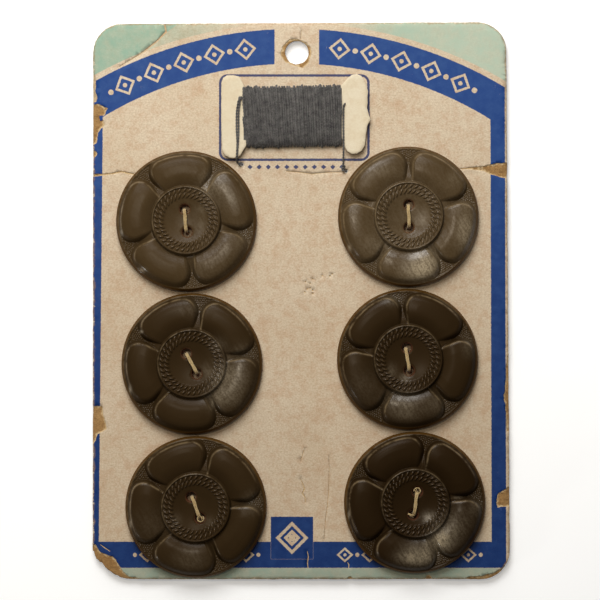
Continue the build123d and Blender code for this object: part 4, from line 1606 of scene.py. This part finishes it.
    def _mark(self, piece: bpy.types.Object) -> None:
        """Store where the rim and the hollows are, the rope and pimple tops painted lighter as highlights, and
        the bores, whose walls are painted lighter deep inside.
        """
        x, y, z = places_of(piece).T
        radius, angle = np.hypot(x, y), np.arctan2(y, x)
        depth = self.petal_depth(radius, angle)
        outside = ramp(radius, *self.flower_start)
        mark(piece, "rim", ramp(radius, 15.3, 15.75))
        mark(piece, "hollow", ramp(depth, 0.1, -0.1) * outside * ramp(radius, 15.4, 15.2))
        roped = ramp(self.rope(radius, angle), 0.45 * self.rope_height, 0.9 * self.rope_height)
        pimpled = ramp(self.stipple(x, y), 0.08, 0.16) * ramp(depth, 0.0, -0.1)
        # Painted highlight, with some wear, on the tops of the rope ribs and the pimples.
        mark(piece, "ridge_wear_and_highlight", np.clip(0.6 * roped * ramp(radius, 7.4, 7.3) + 0.6 * pimpled, 0, 1))
        near = np.minimum(np.hypot(x - self.hole_offset, y), np.hypot(x + self.hole_offset, y))
        # Painted light: the bore walls grow lighter the deeper they go.
        deep = 0.2 + 0.8 * ramp(z, self.dish_floor - 0.2, self.dish_floor - 1.0)
        mark(piece, "bore_tint_and_light", ramp(near, self.mouth_radius, self.hole_radius + 0.1) * deep)

    def lit_edge_highlights(self, x: np.ndarray, y: np.ndarray, angle: float) -> np.ndarray:
        """Share of painted highlight on the petals' shoulders, on the rim and on the ring's crest, where they
        face the upper left.
        """
        radius, turn = np.hypot(x, y), np.arctan2(y, x)
        depth = self.petal_depth(radius, turn)
        small = 0.02
        slope_x, slope_y = (
            self.petal_depth(np.hypot(x + small * a, y + small * b), np.arctan2(y + small * b, x + small * a))
            - depth for a, b in ((1, 0), (0, 1)))
        length = np.maximum(np.hypot(slope_x, slope_y), 1e-9)
        lit = (math.cos(angle) * self.lit_from[0] + math.sin(angle) * self.lit_from[1],
               math.cos(angle) * self.lit_from[1] - math.sin(angle) * self.lit_from[0])
        facing = ramp(-(slope_x * lit[0] + slope_y * lit[1]) / length, -0.3, 0.5)
        shoulder = np.exp(-((depth - 0.8) / 0.17) ** 2) * ramp(radius, *self.flower_start)
        outward = ramp((x * lit[0] + y * lit[1]) / np.maximum(radius, 0.1), -0.3, 0.5)
        # Painted highlight on the rim and on the ring's crest where they face the upper left.
        rim = 0.45 * np.exp(-((radius - 15.4) / 0.22) ** 2)
        rim += 0.6 * np.exp(-((radius - self.ring_radius) / 0.25) ** 2)
        return shoulder * facing + rim * outward

    def _mark_sheens_and_highlights(self, piece: bpy.types.Object, name: str, seat: Vector) -> None:
        """Store each button's painted reflection haze, its painted sheens and glints, and the painted
        highlights on edges that face the upper left.
        """
        x, y = (places_of(piece)[:, :2] - (seat.x, seat.y)).T
        # Painted sheens and glints.
        sheen_paint_and_gloss = np.zeros(len(x))
        for sheen in self.sheens[name] + self.chips[name]:
            off = ((x - sheen.x) / sheen.half_x) ** 2 + ((y - sheen.y) / sheen.half_y) ** 2
            sheen_paint_and_gloss += sheen.strength * np.exp(-off)
        # Painted reflection haze and painted highlights on edges that face the upper left.
        mark(piece, "reflection_haze", np.full(len(x), self.reflection_haze[name]))
        mark(piece, "sheen_paint_and_gloss", sheen_paint_and_gloss)
        angle = math.radians(self.angles[name])
        own_x = math.cos(angle) * x + math.sin(angle) * y
        own_y = math.cos(angle) * y - math.sin(angle) * x
        mark(piece, "edge", self.lit_edge_highlights(own_x, own_y, angle))

    def place_all(self, material: bpy.types.Material) -> None:
        """Set the six buttons on the card."""
        mesh = self.build(material)
        for name, angle in self.angles.items():
            node = f"button_{name}"
            low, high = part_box(node)
            turned = mesh.copy()
            seat = Vector(((low.x + high.x) / 2, (low.y + high.y) / 2, self.seat * MM))
            turned.transform(Matrix.Translation(seat) @ Matrix.Rotation(math.radians(angle), 4, "Z"))
            turned.name = f"flower_button_{name}"
            piece = bpy.data.objects.new(turned.name, turned)
            bpy.context.scene.collection.objects.link(piece)
            self._mark_sheens_and_highlights(piece, name, seat / MM)
            dress(piece, node)
        bpy.data.meshes.remove(mesh)


# ---------------------------------------------------------------- threads


@dataclass
class ButtonStitch:
    """Doubled tan thread that holds a button, knotted behind the card."""

    leg: float = 2.6
    bar_height: float = 6.5
    back_height: float = 0.56
    spread: float = 0.17
    strand: Strand = field(default_factory=lambda: Strand(0.42, 3, 7.0, 6))
    knot_strand: Strand = field(default_factory=lambda: Strand(0.4, 2, 1.2, 6))
    curl_strand: Strand = field(default_factory=lambda: Strand(0.3, 2, 1.2, 6))
    curls: dict[str, tuple[float, ...]] = field(default_factory=lambda: {
        "bottom_left": (2.7,), "bottom_right": (2.75,)})
    stub_at: str = "bottom_right"

    def build(self, name: str, angle: float, number: int, material: bpy.types.Material) -> None:
        """Sew one button.

        Args:
            name: Name of the button's place on the card.
            angle: Direction of its holes, in degrees.
            number: Number of the button, for its own small differences.
            material: The thread.
        """
        rng = np.random.default_rng(60 + number)
        draft = MeshDraft()
        lean = rng.uniform(-0.22, 0.22, 2)
        low, back = self.bar_height - 0.55, self.back_height
        for beside in (-self.spread, self.spread):
            first, last = lean + beside
            route = [
                (-0.1, beside, back), (-1.4, beside, back), (-self.leg + 0.12, beside, back + 0.1),
                (-self.leg, beside, 1.4), (-self.leg, first, 3.6), (-self.leg + 0.04, first, low - 0.5),
                (-self.leg + 0.45, first, low + 0.3), (-1.2, first, self.bar_height - 0.02),
                (0.0, (first + last) / 2, self.bar_height + 0.06), (1.2, last, self.bar_height - 0.02),
                (self.leg - 0.45, last, low + 0.3), (self.leg - 0.04, last, low - 0.5), (self.leg, last, 3.6),
                (self.leg, beside, 1.4), (self.leg - 0.12, beside, back + 0.1), (1.4, beside, back),
                (0.1, beside, back)]
            self.strand.lay_on(draft, smooth_route(route, 0.12), rng.uniform(0, 6))
        turns = np.linspace(0, 3.2 * 2 * math.pi, 90)
        coil = np.column_stack([np.linspace(-0.62, 0.62, 90), 0.33 * np.cos(turns),
                                back + 0.33 * np.sin(turns)])
        self.knot_strand.lay_on(draft, even_route(coil, 0.1))
        for side in (-1, 1):
            swing = rng.uniform(0.6, 1.6)
            tail = [(side * 0.4, 0.25 * side, back), (side * 0.9, 0.7 * side, 0.42),
                    (side * 1.7, side * (0.9 + swing), 0.36), (side * 2.6, side * (1.4 + swing), 0.4)]
            self.knot_strand.lay_on(draft, smooth_route(tail, 0.12))
        self._loose_ends(draft, name)
        low_corner, high_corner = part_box(f"button_{name}")
        centre = (low_corner + high_corner) / 2
        piece = draft.finish(f"stitch_thread_{name}", [material])
        seat = Matrix.Translation((centre.x, centre.y, 0))
        piece.data.transform(seat @ Matrix.Rotation(math.radians(angle), 4, "Z"))
        dress(piece, f"button_stitch_{name}")

    def _loose_ends(self, draft: MeshDraft, name: str) -> None:
        """Add the curls and the stub that stand at the holes of the two lower buttons."""
        for reach in self.curls.get(name, ()):
            turns = np.linspace(0.4, 2.6 * math.pi, 50)
            span = np.linspace(0.35, 0.82, 50)
            curl = np.column_stack([reach + span * np.cos(turns), span * np.sin(turns),
                                    np.linspace(6.1, 6.3, 50)])
            self.curl_strand.lay_on(draft, even_route(curl, 0.1))
        if name == self.stub_at:
            stub = [(-2.75, -0.35, 5.9), (-2.8, 0.1, 6.2), (-2.75, 0.6, 6.25), (-2.65, 1.15, 6.15)]
            self.strand.lay_on(draft, smooth_route(stub, 0.1))


@dataclass
class BobbinTie:
    """Grey thread over the winder and down through the card."""

    front: float = 4.42
    back_height: float = 0.75
    strand: Strand = field(default_factory=lambda: Strand(0.46, 2, 1.4, 6))
    knot_strand: Strand = field(default_factory=lambda: Strand(0.44, 2, 1.2, 6))

    def build(self, side: str, routes: Sequence[Sequence[Spot]], knots: Sequence[tuple[Spot, Point]],
              material: bpy.types.Material) -> None:
        """Tie one end of the winder.

        Args:
            side: Which end it is.
            routes: Points of each strand.
            knots: Middle of each small knot, with the length and the radius of its coil.
            material: The thread.
        """
        draft = MeshDraft()
        for route in routes:
            self.strand.lay_on(draft, smooth_route(route, 0.1))
        for (x, y, z), (length, radius) in knots:
            turns = np.linspace(0, 2.4 * 2 * math.pi, 60)
            coil = np.column_stack([x + radius * np.cos(turns), y + np.linspace(-length / 2, length / 2, 60),
                                    z + radius * np.sin(turns)])
            self.knot_strand.lay_on(draft, even_route(coil, 0.09))
        piece = draft.finish(f"tie_thread_{side}", [material])
        dress(piece, f"bobbin_tie_{side}")

    def build_both(self, material: bpy.types.Material) -> None:
        """Tie both ends: two strands on the left, one on the right."""
        back, front = self.back_height, self.front
        left = []
        for top, middle in ((-14.1, -14.6), (-13.75, -14.15)):
            left.append([(-14.05, 37.5, back), (-14.05, 44.8, back), (-14.05, 45.5, 1.2), (top, 45.6, 3.0),
                         (top + 0.2, 45.7, 4.25), (top - 0.05, 45.2, front),
                         ((top + middle) / 2, 44.2, front), (middle, 42.2, front), (middle, 38.6, front),
                         (middle * 0.4 - 8.6, 35.6, front), (middle * 0.2 - 11.6, 33.2, front),
                         (-14.55, 32.0, 3.9), (-14.5, 31.3, 2.75), (-14.0, 31.0, 2.6), (-13.45, 30.9, 2.35),
                         (-13.4, 30.86, 1.5), (-13.6, 31.5, back), (-14.0, 37.0, back)])
        left_knots = [((-13.75, 45.75, 4.35), (0.5, 0.3)), ((-13.8, 30.95, 2.72), (0.5, 0.26))]
        self.build("left", left, left_knots, material)
        right = [(10.35, 37.0, back), (10.35, 43.8, back), (10.35, 44.4, 1.2), (10.3, 44.5, 3.0),
                 (10.0, 44.4, 4.3), (9.72, 43.6, front), (9.66, 40.0, front), (9.7, 36.0, front - 0.1),
                 (9.7, 34.0, 3.9), (9.68, 32.4, 3.0), (9.66, 31.0, 2.72), (9.66, 30.2, 2.7), (9.8, 29.5, 2.5),
                 (10.1, 29.36, 2.2), (10.35, 29.36, 1.4), (10.35, 30.2, back), (10.35, 36.5, back)]
        self.build("right", [right], [((9.7, 29.9, 2.74), (1.3, 0.3))], material)


# ---------------------------------------------------------------- winder


@dataclass
class ThreadWinder:
    """Flat card winder with two end tabs, wound round its waist with grey thread."""

    base: float = 3.25
    thickness: float = 0.8
    waist: Point = (36.7, 46.9)
    turns: int = 41
    start: float = -13.0
    end: float = 9.3
    middle: Point = (41.71, 3.65)
    half: Point = (6.78, 1.13)
    corner_power: float = 2.5
    lean: float = 0.018
    lean_about: float = -1.85
    crossings: tuple[Point, ...] = ((-9.9, -12.3), (-8.4, -10.4), (-5.0, -5.6), (0.9, 0.2), (4.9, 4.3),
                                    (8.0, 7.5))
    points_per_turn: int = 150
    droop: float = 0.95
    strand: Strand = field(default_factory=lambda: Strand(0.52, 2, 1.5, 5))

    def outline(self) -> Outline:
        """Outline of the winder, clockwise from the left tab's top."""
        left_top = [(-18.05, 49.32), (-17.73, 50.39), (-16.89, 50.98), (-15.45, 51.03), (-14.13, 50.75),
                    (-13.43, 49.66), (-12.88, 48.48), (-12.4, self.waist[1])]
        right = [(8.7, self.waist[1]), (9.01, 48.5), (9.95, 49.55), (10.9, 50.64), (11.61, 51.19),
                 (12.79, 51.35), (13.77, 50.98), (14.25, 50.28), (14.61, 49.32), (15.07, 48.37),
                 (15.34, 47.39), (15.16, 45.95), (15.34, 44.77), (15.07, 43.59), (15.34, 42.61),
                 (15.57, 41.65), (15.89, 40.81), (15.34, 39.97), (14.98, 39.03), (14.84, 37.8),
                 (14.73, 36.37), (14.5, 34.94), (13.88, 33.73), (12.79, 33.14), (11.61, 33.07),
                 (10.65, 33.62), (10.17, 34.48), (9.4, self.waist[0])]
        left_low = [(-12.2, self.waist[0]), (-12.47, 34.82), (-13.06, 33.98), (-13.75, 32.71),
                    (-14.98, 32.07), (-16.18, 32.18), (-17.25, 32.77), (-17.84, 33.98), (-18.05, 38.81),
                    (-18.12, 44.27)]
        return left_top + right + left_low

    def build_card(self, material: bpy.types.Material) -> None:
        """Make the winder's card with soft cut edges."""
        rng = np.random.default_rng(9)
        edge = ragged(self.outline()[::-1], 0.35, 0.035, 31)
        sheet = SheetCut(edge)
        columns, rows = np.arange(-17.6, 15.4, 0.8), np.arange(32.4, 51.0, 0.8)
        places = np.stack(np.meshgrid(columns, rows), axis=-1).reshape(-1, 2)
        places = places + rng.uniform(-0.2, 0.2, places.shape)
        sheet.add_points(places[distance_to(edge, places) > 0.3])
        points, triangles, owners = sheet.cut()
        triangles = [t for t, loops in zip(triangles, owners) if 0 in loops]
        edge_use: dict[tuple[int, int], tuple[int, int]] = {}
        for triangle in triangles:
            for start, end in zip(triangle, triangle[1:] + triangle[:1]):
                key = (min(start, end), max(start, end))
                if key in edge_use:
                    del edge_use[key]
                else:
                    edge_use[key] = (start, end)
        rim = sorted({point for pair in edge_use.values() for point in pair})
        normals = np.zeros_like(points)
        for start, end in edge_use.values():
            run = points[end] - points[start]
            out = np.array([run[1], -run[0]]) / max(np.hypot(*run), 1e-6)
            normals[start] += out
            normals[end] += out
        lengths = np.hypot(normals[:, 0], normals[:, 1])
        normals[rim] /= lengths[rim][:, None]
        wave = 0.04 * slow_waves(points[:, 0], points[:, 1], (14.0, 8.0), 5)
        count = len(points)
        inset = points - 0.1 * normals
        levels = [(inset, self.base), (points, self.base + 0.12), (points, self.base + self.thickness - 0.14),
                  (inset, self.base + self.thickness)]
        draft = MeshDraft()
        draft.add(np.concatenate([np.column_stack([place, height + wave]) for place, height in levels]), [])
        faces = [tuple(reversed(t)) for t in triangles] + [tuple(c + 3 * count for c in t) for t in triangles]
        for level in range(3):
            for start, end in edge_use.values():
                faces.append((start + level * count, end + level * count,
                              end + (level + 1) * count, start + (level + 1) * count))
        draft.add_faces(faces)
        piece = draft.finish("winder_card", [material])
        drop_loose(piece)
        dress(piece, "thread_bobbin")

    def loop(self, turn: np.ndarray, grow: float) -> tuple[np.ndarray, np.ndarray]:
        """Height on the card and over it of points round the winder.

        Args:
            turn: Angles round the waist.
            grow: How far outside the first layer the thread lies.

        Returns:
            The two coordinates.
        """
        power = 2 / self.corner_power
        across = np.sign(np.cos(turn)) * np.abs(np.cos(turn)) ** power
        up = np.sign(np.sin(turn)) * np.abs(np.sin(turn)) ** power
        level = self.middle[1] - self.droop * ramp(-across, -0.3, 1.0)
        front = self.middle[1] + self.half[1] + grow - level
        rear = level - self.middle[1] + self.half[1] + grow
        return self.middle[0] + (self.half[0] + grow) * across, level + np.where(up > 0, front, rear) * up

    def build_winding(self, material: bpy.types.Material) -> None:
        """Wind the thread: a dark body of under-layers, the outer turns and a few that cross them."""
        rng = np.random.default_rng(77)
        draft = MeshDraft()
        self._under_layers(draft)
        turn = np.linspace(0, self.turns * 2 * math.pi, self.turns * self.points_per_turn)
        number = turn / (2 * math.pi)
        drift = np.interp(number, np.arange(self.turns + 1) + 0.5 * rng.uniform(-1, 1, self.turns + 1),
                          rng.normal(0, 0.16, self.turns + 1))
        sway = np.interp(number, np.linspace(0, self.turns, self.turns * 3),
                         rng.normal(0, 0.06, self.turns * 3))
        lift = np.interp(number, np.linspace(0, self.turns, self.turns * 2),
                         rng.uniform(-0.1, 0.1, self.turns * 2))
        along = self.start + (self.end - self.start) * number / self.turns + drift + sway
        along -= (0.2 + 0.75 * np.exp((self.start - along) / 7)) * np.cos(turn + math.pi / 2)
        along = np.clip(along, self.start - 0.05, self.end + 0.05)
        across, up = self.loop(turn + math.pi / 2, 0.0)
        route = np.column_stack([along, across + lift * 0.35 + self.lean * (along - self.lean_about),
                                 up + lift])
        self.strand.lay_on(draft, even_route(route, 0.2))
        for begin, finish in self.crossings:
            arc = np.linspace(-0.35, math.pi + 0.35, 90)
            across, up = self.loop(arc, 0.26)
            along = np.linspace(finish, begin, 90)
            route = np.column_stack([along, across + self.lean * (along - self.lean_about), up - 0.06])
            self.strand.lay_on(draft, even_route(route, 0.2))
        piece = draft.finish("wound_thread", [material])
        dress(piece, "thread_winding")

    def _under_layers(self, draft: MeshDraft) -> None:
        """Body of the layers under the outer turns."""
        turn = np.linspace(0, 2 * math.pi, 64, endpoint=False)
        across, up = self.loop(turn, -0.2)
        rings = [np.column_stack([np.full(64, x), across + self.lean * (x - self.lean_about), up])
                 for x in np.linspace(self.start, self.end, 40)]
        draft.add(np.concatenate(rings), tube_faces(40, 64))


# ---------------------------------------------------------------- studio


@dataclass(frozen=True)
class Lamp:
    """Square soft lamp that faces the card."""

    name: str
    place: Spot
    size: float
    power: float
    colour: Spot = (1.0, 1.0, 1.0)

    def build(self) -> None:
        """Hang the lamp."""
        light = bpy.data.lights.new(self.name, "AREA")
        light.shape = "SQUARE"
        light.size = self.size * MM
        light.energy = self.power
        light.color = self.colour
        lamp = bpy.data.objects.new(self.name, light)
        lamp.location = Vector(self.place) * MM
        lamp.rotation_euler = (-lamp.location).to_track_quat("-Z", "Y").to_euler()
        bpy.context.scene.collection.objects.link(lamp)


@dataclass
class Studio:
    """Pale floor, soft lamps and the camera over the card."""

    lamps: tuple[Lamp, ...] = (
        Lamp("window_lamp", (-55.0, 215.0, 295.0), 190.0, 1.1),
        Lamp("low_lamp", (-40.0, 430.0, 160.0), 260.0, 0.5),
        Lamp("sheen_lamp", (-48.0, 75.0, 470.0), 50.0, 0.32, (1.0, 0.88, 0.7)),
        Lamp("glint_lamp", (-320.0, -250.0, 80.0), 30.0, 0.2))
    air: tuple[float, float, float, float] = (1.0, 0.985, 0.96, 1.0)
    air_strength: float = 0.12
    floor_reach: float = 900.0
    distance: float = 520.0
    tilt: float = 2.0
    frame_width: float = 136.56
    aim: Spot = (-0.18, -0.11, 2.2)
    sensor: float = 36.0
    floor_lift: float = 0.3

    def build(self) -> None:
        """Set up the floor, the world, the lamps and the camera."""
        self._floor()
        self._world()
        for lamp in self.lamps:
            lamp.build()
        self._camera()
        bpy.context.scene.view_settings.view_transform = "Standard"

    def _floor(self) -> None:
        """Pale painted floor under the card."""
        draft = MeshDraft()
        reach = self.floor_reach
        draft.add(np.array([(-reach, -reach, 0), (reach, -reach, 0), (reach, reach, 0), (-reach, reach, 0)]),
                  [(0, 1, 2, 3)])
        material = bpy.data.materials.new("pale_floor")
        material.use_nodes = True
        wiring = Wiring(material.node_tree)
        shader = material.node_tree.nodes["Principled BSDF"]
        cloud = wiring.noise(wiring.own_place(), 0.02, 3.0)
        colour = wiring.mix(cloud, paint(240, 240, 238), paint(246, 246, 245))
        wiring.feed(shader.inputs["Base Color"], colour)
        shader.inputs["Roughness"].default_value = 0.8
        seen = wiring.add("ShaderNodeLightPath").outputs["Is Camera Ray"]
        wiring.feed(shader.inputs["Emission Color"], wiring.mix(seen, paint(0, 0, 0), paint(255, 255, 255)))
        shader.inputs["Emission Strength"].default_value = self.floor_lift
        floor = draft.finish("floor", [material])

    def _world(self) -> None:
        """Even pale surroundings."""
        world = bpy.data.worlds.new("studio")
        bpy.context.scene.world = world
        world.use_nodes = True
        background = world.node_tree.nodes["Background"]
        background.inputs["Color"].default_value = self.air
        background.inputs["Strength"].default_value = self.air_strength

    def _camera(self) -> None:
        """Camera almost straight over the card."""
        data = bpy.data.cameras.new("camera")
        data.sensor_width = self.sensor
        data.lens = self.sensor * self.distance / self.frame_width
        data.clip_start = 0.01
        camera = bpy.data.objects.new("camera", data)
        tilt = math.radians(self.tilt)
        away = Vector((0.0, -math.sin(tilt), math.cos(tilt))) * self.distance
        camera.location = (Vector(self.aim) + away) * MM
        camera.rotation_euler = (tilt, 0.0, 0.0)
        bpy.context.scene.collection.objects.link(camera)
        bpy.context.scene.camera = camera


def main() -> None:
    """Build the pieces in order."""
    logging.basicConfig(level=logging.INFO, format="%(name)s: %(message)s")
    Studio().build()
    finishes = Finishes()
    BackingCard().build(finishes)
    button = FlowerButton()
    button.place_all(finishes.plastic)
    for number, (name, angle) in enumerate(button.angles.items()):
        ButtonStitch().build(name, angle, number, finishes.tan)
    winder = ThreadWinder()
    winder.build_card(finishes.winder)
    winder.build_winding(finishes.grey)
    BobbinTie().build_both(finishes.grey)


if __name__ == "__main__":
    main()
